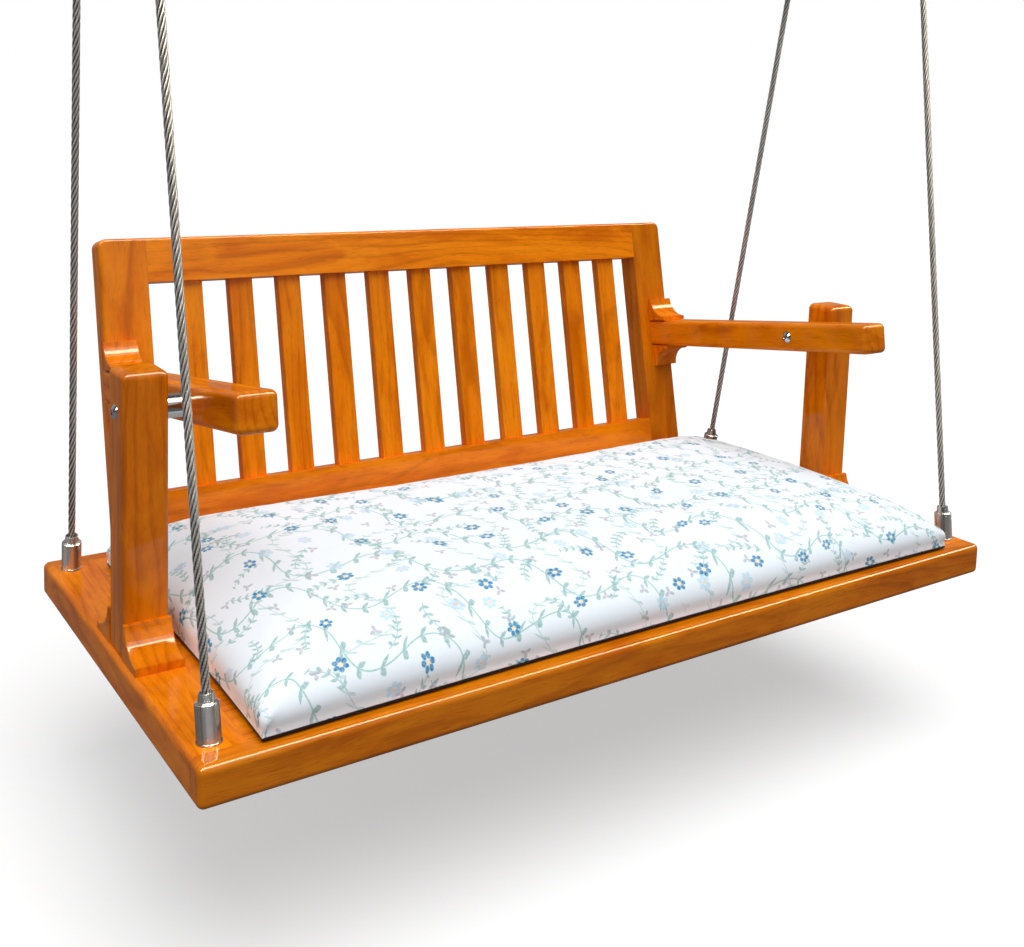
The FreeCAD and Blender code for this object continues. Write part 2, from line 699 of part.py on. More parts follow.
RAILS = {
    "back_top_rail": ("Sizes.top_rail_height", "Sizes.top_rail_start", 1),
    "back_bottom_rail": ("Sizes.bottom_rail_height", "Sizes.bottom_rail_top", -1),
}
for name, (height, start, way) in RAILS.items():
    rail = new_body(name)
    sketch = sketch_on(rail, "XZ_Plane")
    top = height if way > 0 else "0"
    bottom = "0" if way > 0 else f"-{height}"
    draw_rectangle(sketch, "-Sizes.rail_length / 2", "Sizes.rail_length / 2", bottom, top)
    pad(rail, sketch, "Sizes.back_thickness", backwards=True)
    tongue = sketch_on(rail, "XZ_Plane")
    tongue.setExpression("AttachmentOffset.Base.z", f"-{inset}")
    reach = "(Sizes.rail_length / 2 + Sizes.tenon_length)"
    draw_rectangle(tongue, f"-{reach}", reach,
                   f"{bottom} + {shoulder}", f"{top} - {shoulder}")
    pad(rail, tongue, "Sizes.tenon_thickness", backwards=True)
    row = sketch_on(rail, "XY_Plane")
    slot = "(Sizes.slat_width / 2 - Sizes.slat_tenon_shoulder + Sizes.mortise_fit)"
    first = "-(Sizes.slat_count - 1) / 2 * Sizes.slat_pitch"
    near = ("Sizes.slat_setback + (Sizes.slat_thickness - Sizes.slat_tenon_thickness) / 2"
            " - Sizes.mortise_fit")
    far = f"{near} + Sizes.slat_tenon_thickness + 2 * Sizes.mortise_fit"
    draw_rectangle(row, f"{first} - {slot}", f"{first} + {slot}", near, far)
    hole = cut(rail, row, "Sizes.slat_tenon_length + Sizes.mortise_fit", backwards=way > 0)
    pattern = rail.newObject("PartDesign::LinearPattern", rail.Name + "_mortises")
    pattern.Originals = [hole]
    pattern.Direction = (row, ["H_Axis"])
    pattern.setExpression("Length", "(Sizes.slat_count - 1) * Sizes.slat_pitch")
    pattern.setExpression("Occurrences", "Sizes.slat_count")
    rail.Tip = pattern
    doc.recompute()
    edge_z = way * sizes[height.split(".")[1]]
    round_edges(rail, "Sizes.back_rounding",
                lambda edge: along(edge, X_AXIS) and outside(edge, [("z", edge_z)])
                and edge.Length > S.rail_length - NEAR)
    on_back(rail, rise=start)
    keep(rail, name)

for index in range(int(S.slat_count)):
    name = f"back_slat_{index + 1:02d}"
    slat = block(name, "Sizes.slat_width", "Sizes.slat_thickness", "Sizes.slat_length",
                 centred="xyz")
    tongue = sketch_on(slat, "XY_Plane")
    half = "(Sizes.slat_width / 2 - Sizes.slat_tenon_shoulder)"
    draw_rectangle(tongue, f"-{half}", half, "-Sizes.slat_tenon_thickness / 2",
                   "Sizes.slat_tenon_thickness / 2")
    pad(slat, tongue, "Sizes.slat_length + 2 * Sizes.slat_tenon_length", centred=True)
    faces = [("x", S.slat_width / 2), ("x", -S.slat_width / 2)]
    round_edges(slat, "Sizes.slat_rounding",
                lambda edge: along(edge, Z_AXIS) and outside(edge, faces))
    on_back(slat, f"({index} - (Sizes.slat_count - 1) / 2) * Sizes.slat_pitch",
            "Sizes.slat_setback + Sizes.slat_thickness / 2",
            "Sizes.bottom_rail_top + Sizes.slat_length / 2")


# Rope sockets, ropes and ceiling hangers, one set at each corner
def corner_line(side_sign, end_sign):
    """The foot and the unit direction of a corner's rope, leaning in to the swing's apex."""
    foot = Vector(side_sign * rope_x, end_sign * rope_y, 0)
    run = Vector(side_sign * rope_run_x, end_sign * rope_run_y, 1)
    return foot, run.normalize()


# Heights along the rope from its foot, and the radii that fit round the rope and its ball
ball_radius = S.rope_radius + S.ball_shoulder
mouth_radius = S.rope_radius + S.mouth_gap
sleeve_radius = S.rope_radius + S.sleeve_wall
cavity_radius = ball_radius + S.cavity_gap
socket_radius = cavity_radius + S.socket_wall
collar_lip_radius = mouth_radius + S.collar_wall
rim_radius = socket_radius + S.rim_reach
ball_height = S.socket_height - S.ball_drop
ball_flat = sqrt(ball_radius ** 2 - S.rope_radius ** 2)
roof_height = ball_height + sqrt((ball_radius + S.ball_gap) ** 2 - mouth_radius ** 2)
cavity_floor = ball_height - ball_radius - S.cavity_floor_gap
socket_top = S.socket_height + S.collar_height
eye_drop = S.eye_inner_radius - S.bar_radius - S.eye_rest_gap
bar_distance = (S.hang_height - S.bar_depth) * rope_stretch
eye_centre = bar_distance - eye_drop
sleeve_bottom = eye_centre - S.eye_inner_radius - S.eye_wire_radius - S.sleeve_length
rope_start = ball_height + ball_flat
rope_length = sleeve_bottom - rope_start


def staple_spine(bar_centre, leg):
    """The centre line of a hanger's bar: down one leg, along under the plate and up again."""
    left = bar_centre - X_AXIS * S.staple_half_width
    right = bar_centre + X_AXIS * S.staple_half_width
    cut_in = S.staple_bend * (1 - HOLLOW_SHARE)
    stops = [left + Z_AXIS * leg, left + Z_AXIS * S.staple_bend, left + X_AXIS * S.staple_bend,
             right - X_AXIS * S.staple_bend, right + Z_AXIS * S.staple_bend, right + Z_AXIS * leg]
    return Part.Wire([Part.LineSegment(stops[0], stops[1]).toShape(),
                      Part.Arc(stops[1], left + (X_AXIS + Z_AXIS) * cut_in, stops[2]).toShape(),
                      Part.LineSegment(stops[2], stops[3]).toShape(),
                      Part.Arc(stops[3], right + (Z_AXIS - X_AXIS) * cut_in, stops[4]).toShape(),
                      Part.LineSegment(stops[4], stops[5]).toShape()])


def ceiling_plate(bar_centre, leg):
    """A hanger's plate with its four screw holes."""
    plate = Part.makeBox(S.plate_width, S.plate_length, S.plate_thickness,
                         bar_centre + Vector(-S.plate_width / 2, -S.plate_length / 2, leg))
    plate = soften(plate, S.plate_rounding, lambda edge: along(edge, Z_AXIS))
    for hole_x in (-1, 1):
        for hole_y in (-1, 1):
            spot = bar_centre + Vector(hole_x * S.plate_hole_spread_x / 2,
                                       hole_y * S.plate_hole_spread_y / 2, leg)
            plate = plate.cut(Part.makeCylinder(S.plate_hole_radius, S.plate_thickness, spot))
    return plate


washers, nuts = [], []
balls = {"front": [], "rear": []}
stud_length = S.deck_thickness + S.stud_projection
for end, end_sign in ENDS.items():
    for side, side_sign in SIDES.items():
        foot, run = corner_line(side_sign, end_sign)
        # Socket: cup, collar and rim on the deck, with its stud through the side board
        cup = turned([(0, 0), (socket_radius, 0), (socket_radius, S.socket_height - S.socket_bevel),
                      (socket_radius - S.socket_bevel, S.socket_height),
                      (collar_lip_radius + S.collar_flare, S.socket_height),
                      (collar_lip_radius, socket_top), (0, socket_top)], foot, run)
        rim = Part.makeCylinder(rim_radius, S.rim_height, foot)
        below = Part.makeCylinder(2 * rim_radius, S.deck_thickness, foot, -Z_AXIS)
        stud = Part.makeCylinder(S.stud_radius, stud_length, foot, -Z_AXIS)
        cavity = turned([(0, cavity_floor), (cavity_radius, cavity_floor),
                         (cavity_radius, roof_height), (mouth_radius, roof_height),
                         (mouth_radius, socket_top), (0, socket_top)], foot, run)
        socket = cup.fuse(rim).cut(below).cut(cavity).fuse(stud)
        feature(f"rope_socket_{end}_{side}", socket.removeSplitter())
        under = foot - Z_AXIS * S.deck_thickness
        bore = Part.makeCylinder(S.stud_radius + S.snug_fit, stud_length, foot, -Z_AXIS)
        washer = Part.makeCylinder(S.washer_radius, S.washer_thickness, under, -Z_AXIS)
        washers.append(washer.cut(bore))
        nut_base = under - Z_AXIS * S.washer_thickness
        nuts.append(hexagon(S.nut_across_flats, S.nut_height, nut_base, -Z_AXIS).cut(bore))
        # Rope: its ball, the rope itself and the ring at its upper end
        top_angle = degrees(atan2(ball_flat, S.rope_radius))
        ball = Part.makeSphere(ball_radius, ORIGIN, Z_AXIS, -FULL_TURN / 4, top_angle, FULL_TURN)
        ball.Placement = Placement(foot + run * ball_height, Rotation(Z_AXIS, run))
        balls[end].append(ball)
        feature(f"rope_{end}_{side}",
                Part.makeCylinder(S.rope_radius, rope_length, foot + run * rope_start, run))
        sleeve = Part.makeCylinder(sleeve_radius, S.sleeve_length + S.eye_wire_radius,
                                   foot + run * sleeve_bottom, run)
        ring = Part.makeTorus(S.eye_inner_radius + S.eye_wire_radius, S.eye_wire_radius,
                              foot + run * eye_centre, X_AXIS)
        feature(f"rope_eye_{end}_{side}", sleeve.fuse(ring).removeSplitter())
        # Ceiling hanger: a staple whose bar carries the ring, under a screwed plate
        bar_centre = foot + run * bar_distance
        leg = S.bar_depth - S.plate_thickness
        section = Part.Circle(bar_centre + Vector(-S.staple_half_width, 0, leg), Z_AXIS,
                              S.bar_radius).toShape()
        staple = staple_spine(bar_centre, leg).makePipeShell([Part.Wire([section])], True, False)
        hanger = staple.fuse(ceiling_plate(bar_centre, leg))
        feature(f"ceiling_hanger_{end}_{side}", hanger.removeSplitter())
feature("socket_washers", Part.makeCompound(washers))
feature("socket_nuts", Part.makeCompound(nuts))
for end, pair in balls.items():
    feature(f"rope_balls_{end}", Part.makeCompound(pair))


# Cushion: level outlines with bowed sides, lofted over a flat underside
cushion_half = post_inner - S.cushion_side_gap
cushion_front = S.cushion_front_inset - S.deck_depth / 2
cushion_back = back_foot_depth - S.cushion_back_gap


def cushion_outline(height, inset_by, bow, corner):
    """A closed level outline: four bowed sides and four rounded corners."""
    half = cushion_half - inset_by
    near = cushion_front + inset_by
    far = cushion_back - inset_by
    mid = (near + far) / 2
    cut_in = corner * (1 - HOLLOW_SHARE)
    points = [Vector(-half + corner, near, height), Vector(0, near - bow, height),
              Vector(half - corner, near, height), Vector(half - cut_in, near + cut_in, height),
              Vector(half, near + corner, height), Vector(half + bow, mid, height),
              Vector(half, far - corner, height), Vector(half - cut_in, far - cut_in, height),
              Vector(half - corner, far, height), Vector(0, far + bow, height),
              Vector(-half + corner, far, height), Vector(-half + cut_in, far - cut_in, height),
              Vector(-half, far - corner, height), Vector(-half - bow, mid, height),
              Vector(-half, near + corner, height), Vector(-half + cut_in, near + cut_in, height)]
    edges = []
    for start in range(0, len(points), 2):
        last = points[(start + 2) % len(points)]
        edges.append(Part.Arc(points[start], points[start + 1], last).toShape())
    return Part.Wire(edges)


cushion_depth = cushion_back - cushion_front
crown = S.cushion_height - S.cushion_seam_height
levels = [(share * S.cushion_seam_height, rest) for share, *rest in CUSHION_UNDER_SHARES]
levels += [(S.cushion_seam_height + share * crown, rest) for share, *rest in CUSHION_OVER_SHARES]
outlines = []
for height, (inset_share, bow_share, corner_share) in levels:
    outlines.append(cushion_outline(height, inset_share * cushion_depth,
                                    bow_share * S.cushion_draw_in,
                                    corner_share * S.cushion_corner))
feature("seat_cushion", Part.makeLoft(outlines, True, True))

doc.recompute()
for item in doc.Objects:
    if "Invalid" in item.State or "Error" in item.State:
        raise RuntimeError(f"{item.Label} did not recompute: {item.State}")
for piece in parts:
    if piece.Shape.isNull() or not piece.Shape.isValid():
        raise RuntimeError(f"{piece.Label} has no sound shape")

os.makedirs("parts", exist_ok=True)
for piece in parts:
    piece.Shape.exportStep(f"parts/{piece.Label}.step")
print(len(parts), "parts; each rope", round(rope_length, 1), "mm long, straight")
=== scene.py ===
"""Dresses a wooden jhoola for rendering: varnished teak, bright steel, wire ropes and a cushion.

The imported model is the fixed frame. Its wood and steel pieces keep their shapes and get their
finishes here. The ropes and the cushion are modelled anew where theirs are.
Lengths are in metres, and angles in degrees unless a comment says otherwise. A range gives where
a number starts and ends and, where it has four parts, what comes of it at these two ends.
"""

import logging
import math
from dataclasses import dataclass
from enum import Enum
from typing import Union

import bmesh
import bpy
from mathutils import Matrix, Vector


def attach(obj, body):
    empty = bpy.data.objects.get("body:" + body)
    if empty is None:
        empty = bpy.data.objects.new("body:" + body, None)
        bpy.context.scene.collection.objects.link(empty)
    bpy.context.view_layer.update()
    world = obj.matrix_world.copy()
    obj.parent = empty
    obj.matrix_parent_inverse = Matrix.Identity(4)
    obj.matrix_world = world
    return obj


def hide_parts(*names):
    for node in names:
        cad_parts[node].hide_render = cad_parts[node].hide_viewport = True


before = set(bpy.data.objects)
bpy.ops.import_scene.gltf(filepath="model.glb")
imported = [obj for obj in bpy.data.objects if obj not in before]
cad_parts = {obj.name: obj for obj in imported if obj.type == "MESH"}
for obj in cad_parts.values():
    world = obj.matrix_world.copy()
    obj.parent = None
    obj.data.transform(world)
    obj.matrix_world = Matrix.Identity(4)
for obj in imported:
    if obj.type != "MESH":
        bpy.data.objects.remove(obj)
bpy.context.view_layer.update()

LOG = logging.getLogger("jhoola")

Pair = tuple[float, float]
Triple = tuple[float, float, float]
Range = tuple[float, float, float, float]
Colour = Triple

NUMBER = "NodeSocketFloat"
PLACE = "NodeSocketVector"
WHITE = (1.0, 1.0, 1.0)
SIDES = {"left": -1, "right": 1}
ENDS = {"front": -1, "rear": 1}
# Where the right rear rope's line meets the deck, and the others by their signs
ROPE_FOOT = (0.5833, 0.26, -0.98)


def screen(red: int, green: int, blue: int) -> Colour:
    """Turns a colour as a screen shows it into a linear one.

    Args:
        red: Red from 0 to 255.
        green: Green from 0 to 255.
        blue: Blue from 0 to 255.

    Returns:
        The three linear parts, from 0 to 1.
    """
    parts = []
    for part in (red, green, blue):
        share = part / 255
        parts.append(share / 12.92 if share <= 0.04045 else ((share + 0.055) / 1.055) ** 2.4)
    return tuple(parts)


def toned(colour: Colour, tone: float) -> Colour:
    """Makes a colour lighter or darker."""
    return tuple(part * tone for part in colour)


class Wire:
    """What one output gives. Where that is a number, it takes part in sums as a plain one."""

    def __init__(self, wiring: "Wiring", socket: bpy.types.NodeSocket) -> None:
        """Takes the output and the wiring that it belongs to."""
        self.wiring, self.socket = wiring, socket

    def __add__(self, other: "Value") -> "Wire":
        """Adds a number."""
        return self.wiring.sum("ADD", self, other)

    def __radd__(self, other: float) -> "Wire":
        """Adds this to a plain number."""
        return self + other

    def __sub__(self, other: "Value") -> "Wire":
        """Takes a number away."""
        return self.wiring.sum("SUBTRACT", self, other)

    def __rsub__(self, other: float) -> "Wire":
        """Takes this away from a plain number."""
        return self.wiring.sum("SUBTRACT", other, self)

    def __mul__(self, other: "Value") -> "Wire":
        """Multiplies by a number."""
        return self.wiring.sum("MULTIPLY", self, other)

    def __truediv__(self, other: "Value") -> "Wire":
        """Divides by a number."""
        return self.wiring.sum("DIVIDE", self, other)

    def __abs__(self) -> "Wire":
        """Drops the sign."""
        return self.wiring.sum("ABSOLUTE", self)


Value = Union[float, tuple, Wire]
Wires = dict[str, Wire]


class Wiring:
    """Adds and joins the nodes of one material, world or shader group."""

    # The sockets of a Mix node that it blends colours with
    under, over, mixed = 6, 7, 2

    def __init__(self, tree: bpy.types.NodeTree) -> None:
        """Takes the tree that the nodes go into."""
        self.tree = tree

    def feed(self, value: Value, target: bpy.types.NodeSocket) -> None:
        """Links a wire to an input, or sets a plain value on it.

        Args:
            value: The wire, number, vector or colour.
            target: The input.
        """
        if isinstance(value, Wire):
            self.tree.links.new(value.socket, target)
        elif target.type == "RGBA":
            target.default_value = (*value, 1.0)
        else:
            target.default_value = value

    def fill(self, node: bpy.types.Node, inputs: dict[str, Value]) -> None:
        """Feeds a node's inputs by name."""
        for name, value in inputs.items():
            self.feed(value, node.inputs[name])

    def add(self, kind: str, inputs: dict[str, Value], **settings: object) -> bpy.types.Node:
        """Adds a node.

        Args:
            kind: The node's type name.
            inputs: What goes to its inputs, by name.
            settings: Its properties.

        Returns:
            The new node.
        """
        node = self.tree.nodes.new(kind)
        for name, value in settings.items():
            setattr(node, name, value)
        self.fill(node, inputs)
        return node

    def out(self, node: bpy.types.Node, name: Union[int, str] = 0) -> Wire:
        """Takes a wire from one of a node's outputs."""
        return Wire(self, node.outputs[name])

    def sum(self, operation: str, *values: Value, clamp: bool = False) -> Wire:
        """Adds a Math node.

        Args:
            operation: Its operation.
            values: Its inputs in order.
            clamp: Whether the result is held between 0 and 1.

        Returns:
            Its result.
        """
        node = self.add("ShaderNodeMath", {}, operation=operation, use_clamp=clamp)
        for value, target in zip(values, node.inputs):
            self.feed(value, target)
        return self.out(node)

    def vector(self, operation: str, *values: Value) -> Wire:
        """Adds a Vector Math node.

        Args:
            operation: Its operation.
            values: Its inputs in order.

        Returns:
            Its vector, or its number where it gives one.
        """
        node = self.add("ShaderNodeVectorMath", {}, operation=operation)
        for value, target in zip(values, node.inputs):
            self.feed(value, target)
        return self.out(node, "Value" if operation in ("LENGTH", "DOT_PRODUCT") else "Vector")

    def scaled(self, vector: Wire, factor: float) -> Wire:
        """Multiplies a vector by a number."""
        return self.vector("MULTIPLY", vector, (factor,) * 3)

    def split(self, vector: Wire) -> tuple[Wire, ...]:
        """Splits a vector into its three parts."""
        node = self.add("ShaderNodeSeparateXYZ", {"Vector": vector})
        return tuple(self.out(node, part) for part in "XYZ")

    def joined(self, across: Value, up: Value, out: Value = 0.0) -> Wire:
        """Joins three numbers into a vector."""
        return self.out(self.add("ShaderNodeCombineXYZ", {"X": across, "Y": up, "Z": out}))

    def length(self, across: Value, up: Value) -> Wire:
        """Finds how long a flat vector is."""
        return self.vector("LENGTH", self.joined(across, up))

    def turned(self, vector: Wire, angle: Value) -> Wire:
        """Turns a vector round Z by an angle in radians."""
        return self.out(self.add("ShaderNodeVectorRotate", {"Vector": vector, "Angle": angle},
                                 rotation_type="Z_AXIS"))

    def noise(self, place: Wire, stretch: Union[float, Triple], detail: float = 2.0,
              roughness: float = 0.5, distortion: float = 0.0, flat: bool = False,
              gives: str = "Fac") -> Wire:
        """Adds a Noise Texture.

        Args:
            place: Where the noise is read.
            stretch: Its scale, one for all directions or one for each.
            detail: Its detail.
            roughness: Its roughness.
            distortion: Its distortion.
            flat: Whether it has two dimensions.
            gives: Which output is taken, Fac or Color.

        Returns:
            The noise.
        """
        if isinstance(stretch, tuple):
            place, stretch = self.vector("MULTIPLY", place, stretch), 1.0
        node = self.add("ShaderNodeTexNoise", {}, noise_dimensions="2D" if flat else "3D")
        self.fill(node, {"Vector": place, "Scale": stretch, "Detail": detail,
                         "Roughness": roughness, "Distortion": distortion})
        return self.out(node, gives)

    def chance(self, number: Wire) -> tuple[Wire, Wire]:
        """Draws by lot for a whole number.

        Args:
            number: The whole number.

        Returns:
            A random number and a random vector.
        """
        node = self.add("ShaderNodeTexWhiteNoise", {}, noise_dimensions="1D")
        self.feed(number, node.inputs["W"])
        return self.out(node, "Value"), self.out(node, "Color")

    def blend(self, share: Value, under: Value, over: Value, way: str = "MIX") -> Wire:
        """Mixes two colours.

        Args:
            share: How much of the upper colour shows, from 0 to 1.
            under: The lower colour.
            over: The upper colour.
            way: The blend type.

        Returns:
            The mixed colour.
        """
        node = self.add("ShaderNodeMix", {"Factor": share}, data_type="RGBA", blend_type=way)
        self.feed(under, node.inputs[self.under])
        self.feed(over, node.inputs[self.over])
        return self.out(node, self.mixed)

    def spread(self, value: Wire, low: float, high: float, start: float = 0.0,
               end: float = 1.0, smooth: bool = False) -> Wire:
        """Maps a number from one range to another and holds it there.

        Args:
            value: The number.
            low: Where its range starts.
            high: Where it ends.
            start: What comes out at the low end.
            end: What comes out at the high end.
            smooth: Whether it eases in and out.

        Returns:
            The mapped number.
        """
        node = self.add("ShaderNodeMapRange", {}, clamp=True,
                        interpolation_type="SMOOTHSTEP" if smooth else "LINEAR")
        self.fill(node, {"Value": value, "From Min": low, "From Max": high, "To Min": start,
                         "To Max": end})
        return self.out(node)

    def fall(self, value: Wire, low: float, high: float, smooth: bool = False) -> Wire:
        """Falls from 1 to 0 as a number goes from low to high."""
        return self.spread(value, low, high, 1.0, 0.0, smooth)

    def relief(self, height: Wire, strength: float, depth: float, **rest: Wire) -> Wire:
        """Adds a Bump node on a height and, where one is given, on a Normal."""
        return self.out(self.add("ShaderNodeBump", {
            "Strength": strength, "Distance": depth, "Height": height, **rest}))

    def rays(self) -> tuple[Wire, Wire]:
        """Tells the camera's rays, and the mirrored ones, from all others."""
        path = self.add("ShaderNodeLightPath", {})
        return self.out(path, "Is Camera Ray"), self.sum(
            "MAXIMUM", self.out(path, "Is Glossy Ray"), self.out(path, "Is Transmission Ray"))


class SharedGroup:
    """A shader group that is built once and placed in each material that uses it."""

    title = "group"
    takes: dict[str, str] = {}
    gives: dict[str, str] = {}

    def build(self, wiring: Wiring, given: Wires) -> Wires:
        """Wires the group's inside.

        Args:
            wiring: The wiring of the group's tree.
            given: The group's inputs by name.

        Returns:
            What goes to its outputs, by name.
        """
        raise NotImplementedError

    def tree(self) -> bpy.types.NodeTree:
        """Finds the group's tree, or builds it the first time.

        Returns:
            The tree.
        """
        found = bpy.data.node_groups.get(self.title)
        if found is not None:
            return found
        tree = bpy.data.node_groups.new(self.title, "ShaderNodeTree")
        for sockets, way in ((self.takes, "INPUT"), (self.gives, "OUTPUT")):
            for name, kind in sockets.items():
                tree.interface.new_socket(name, in_out=way, socket_type=kind)
        wiring = Wiring(tree)
        entry = wiring.add("NodeGroupInput", {})
        leaving = wiring.add("NodeGroupOutput", {})
        given = {name: wiring.out(entry, name) for name in self.takes}
        wiring.fill(leaving, self.build(wiring, given))
        return tree

    def place(self, wiring: Wiring, **values: Value) -> Wires:
        """Places the group in a tree.

        Args:
            wiring: The tree's wiring.
            values: What goes to the group's inputs, by name.

        Returns:
            The group's outputs by name.
        """
        node = wiring.add("ShaderNodeGroup", {}, node_tree=self.tree())
        wiring.fill(node, values)
        return {name: wiring.out(node, name) for name in self.gives}


class WoodFigure(SharedGroup):
    """Growth rings, fibres, pores and clouds of a board whose grain runs along X."""

    title = "Wood figure"
    takes = {"place": PLACE, "ring_gap": NUMBER}
    gives = {"rings": NUMBER, "fibres": NUMBER, "pores": NUMBER, "clouds": NUMBER}
    # How two noises are stretched, and how far they bend the rings
    bend, bend_depth = (1.7, 6.0, 6.0), 0.12
    ripple, ripple_depth = (16.0, 34.0, 34.0), 0.006
    # The stretch, detail, roughness and distortion of each other noise
    fibre = ((14.0, 300.0, 300.0), 4.0, 0.62)
    pore = ((55.0, 1100.0, 1100.0), 1.0)
    cloud = ((6.0, 24.0, 24.0), 3.5, 0.6, 0.9)
    pore_range = (0.60, 0.72)
    late_range = (0.45, 0.86)

    def build(self, wiring: Wiring, given: Wires) -> Wires:
        """Wires distances from the heart of the tree, bent by noise, into rings."""
        place = given["place"]
        _, across, up = wiring.split(place)
        radius = (wiring.sum("SQRT", across * across + up * up)
                  + wiring.noise(place, self.bend) * self.bend_depth
                  + wiring.noise(place, self.ripple) * self.ripple_depth)
        turns = wiring.sum("FRACT", radius / given["ring_gap"])
        late = wiring.spread(turns, *self.late_range, smooth=True)
        return {"rings": late * wiring.fall(turns, self.late_range[1], 1.0, smooth=True),
                "fibres": wiring.noise(place, *self.fibre),
                "pores": wiring.spread(wiring.noise(place, *self.pore), *self.pore_range),
                "clouds": wiring.noise(place, *self.cloud)}


class SoftEdge(SharedGroup):
    """A normal that is rounded over a piece's sharp edges."""

    title = "Soft edge"
    takes = {"radius": NUMBER}
    gives = {"normal": PLACE}

    def build(self, wiring: Wiring, given: Wires) -> Wires:
        """Wires a Bevel node."""
        return {"normal": wiring.out(wiring.add("ShaderNodeBevel", {"Radius": given["radius"]},
                                                samples=6))}


class Handling(SharedGroup):
    """Faint smears left by hands and cloths, from 0 to 1."""

    title = "Handling"
    takes = {"place": PLACE}
    gives = {"smears": NUMBER}
    # The noise's scale, detail and roughness
    smear = (11.0, 3.0, 0.6)
    smear_range = (0.42, 0.72)

    def build(self, wiring: Wiring, given: Wires) -> Wires:
        """Wires a wide noise."""
        return {"smears": wiring.spread(wiring.noise(given["place"], *self.smear),
                                        *self.smear_range)}


class LatheMarks(SharedGroup):
    """Fine rings that a tool leaves on turned steel, read along one direction."""

    title = "Lathe marks"
    takes = {"along": NUMBER}
    gives = {"marks": NUMBER}
    # How fine each layer is, where its noise is read, and that noise's detail and roughness
    layers = ((2600.0, 0.0, 2.0, 0.7), (420.0, 3.0, 1.0, 0.5))

    def build(self, wiring: Wiring, given: Wires) -> Wires:
        """Wires noise on one number at two scales."""
        fine, broad = (wiring.noise(wiring.joined(given["along"] * scale, row), 1.0, detail,
                                    roughness, flat=True)
                       for scale, row, detail, roughness in self.layers)
        return {"marks": (fine + broad) / 2}


class PaintedReflectionBands(SharedGroup):
    """Painted reflection: light and dark bands up a steel cylinder, one such cylinder in each
    quarter.
    """

    title = "Painted reflection bands"
    takes = {"place": PLACE, "across": NUMBER, "back": NUMBER, "foot": NUMBER,
             "lean_across": NUMBER, "lean_back": NUMBER}
    gives = {"bands": NUMBER}
    # How often each wave comes, its turn in radians and its strength
    waves = ((3.0, 0.6, 1.0), (7.0, 2.1, 0.45), (19.0, 0.4, 0.18))
    reach = 1.4

    def build(self, wiring: Wiring, given: Wires) -> Wires:
        """Wires the turn round the nearest leaning line into uneven waves."""
        x, y, z = wiring.split(given["place"])
        rise = z - given["foot"]
        turn = wiring.sum("ARCTAN2", abs(y) - (rise * given["lean_back"] + given["back"]),
                          abs(x) - (rise * given["lean_across"] + given["across"]))
        mixed = sum(wiring.sum("SINE", turn * often + start) * strength
                    for often, start, strength in self.waves)
        return {"bands": wiring.spread(mixed, -self.reach, self.reach)}


@dataclass(frozen=True)
class Finish:
    """A material with a Principled shader, which each kind of finish wires in its own way."""

    title: str

    def inputs(self, wiring: Wiring) -> dict[str, Value]:
        """Wires the finish.

        Args:
            wiring: The material's wiring.

        Returns:
            What goes to the shader's inputs, by name.
        """
        raise NotImplementedError

    def material(self) -> bpy.types.Material:
        """Makes the material.

        Returns:
            The wired material.
        """
        material = bpy.data.materials.new(self.title)
        material.use_nodes = True
        wiring = Wiring(material.node_tree)
        shader = next(node for node in material.node_tree.nodes
                      if node.type == "BSDF_PRINCIPLED")
        wiring.fill(shader, self.inputs(wiring))
        return material

    @staticmethod
    def spot(wiring: Wiring) -> Wire:
        """Reads a point's place on the piece."""
        return wiring.out(wiring.add("ShaderNodeTexCoord", {}), "Object")


class Grain(Enum):
    """Which way a piece's grain runs, as the turn that brings it to X."""

    ACROSS = (0.0, 0.0, 0.0)
    DEEP = (0.0, 0.0, -90.0)
    UPRIGHT = (0.0, 90.0, 0.0)
    ALONG_BACK = (12.46, 90.0, 0.0)
    ALONG_ARM = (8.28, 0.0, -90.0)


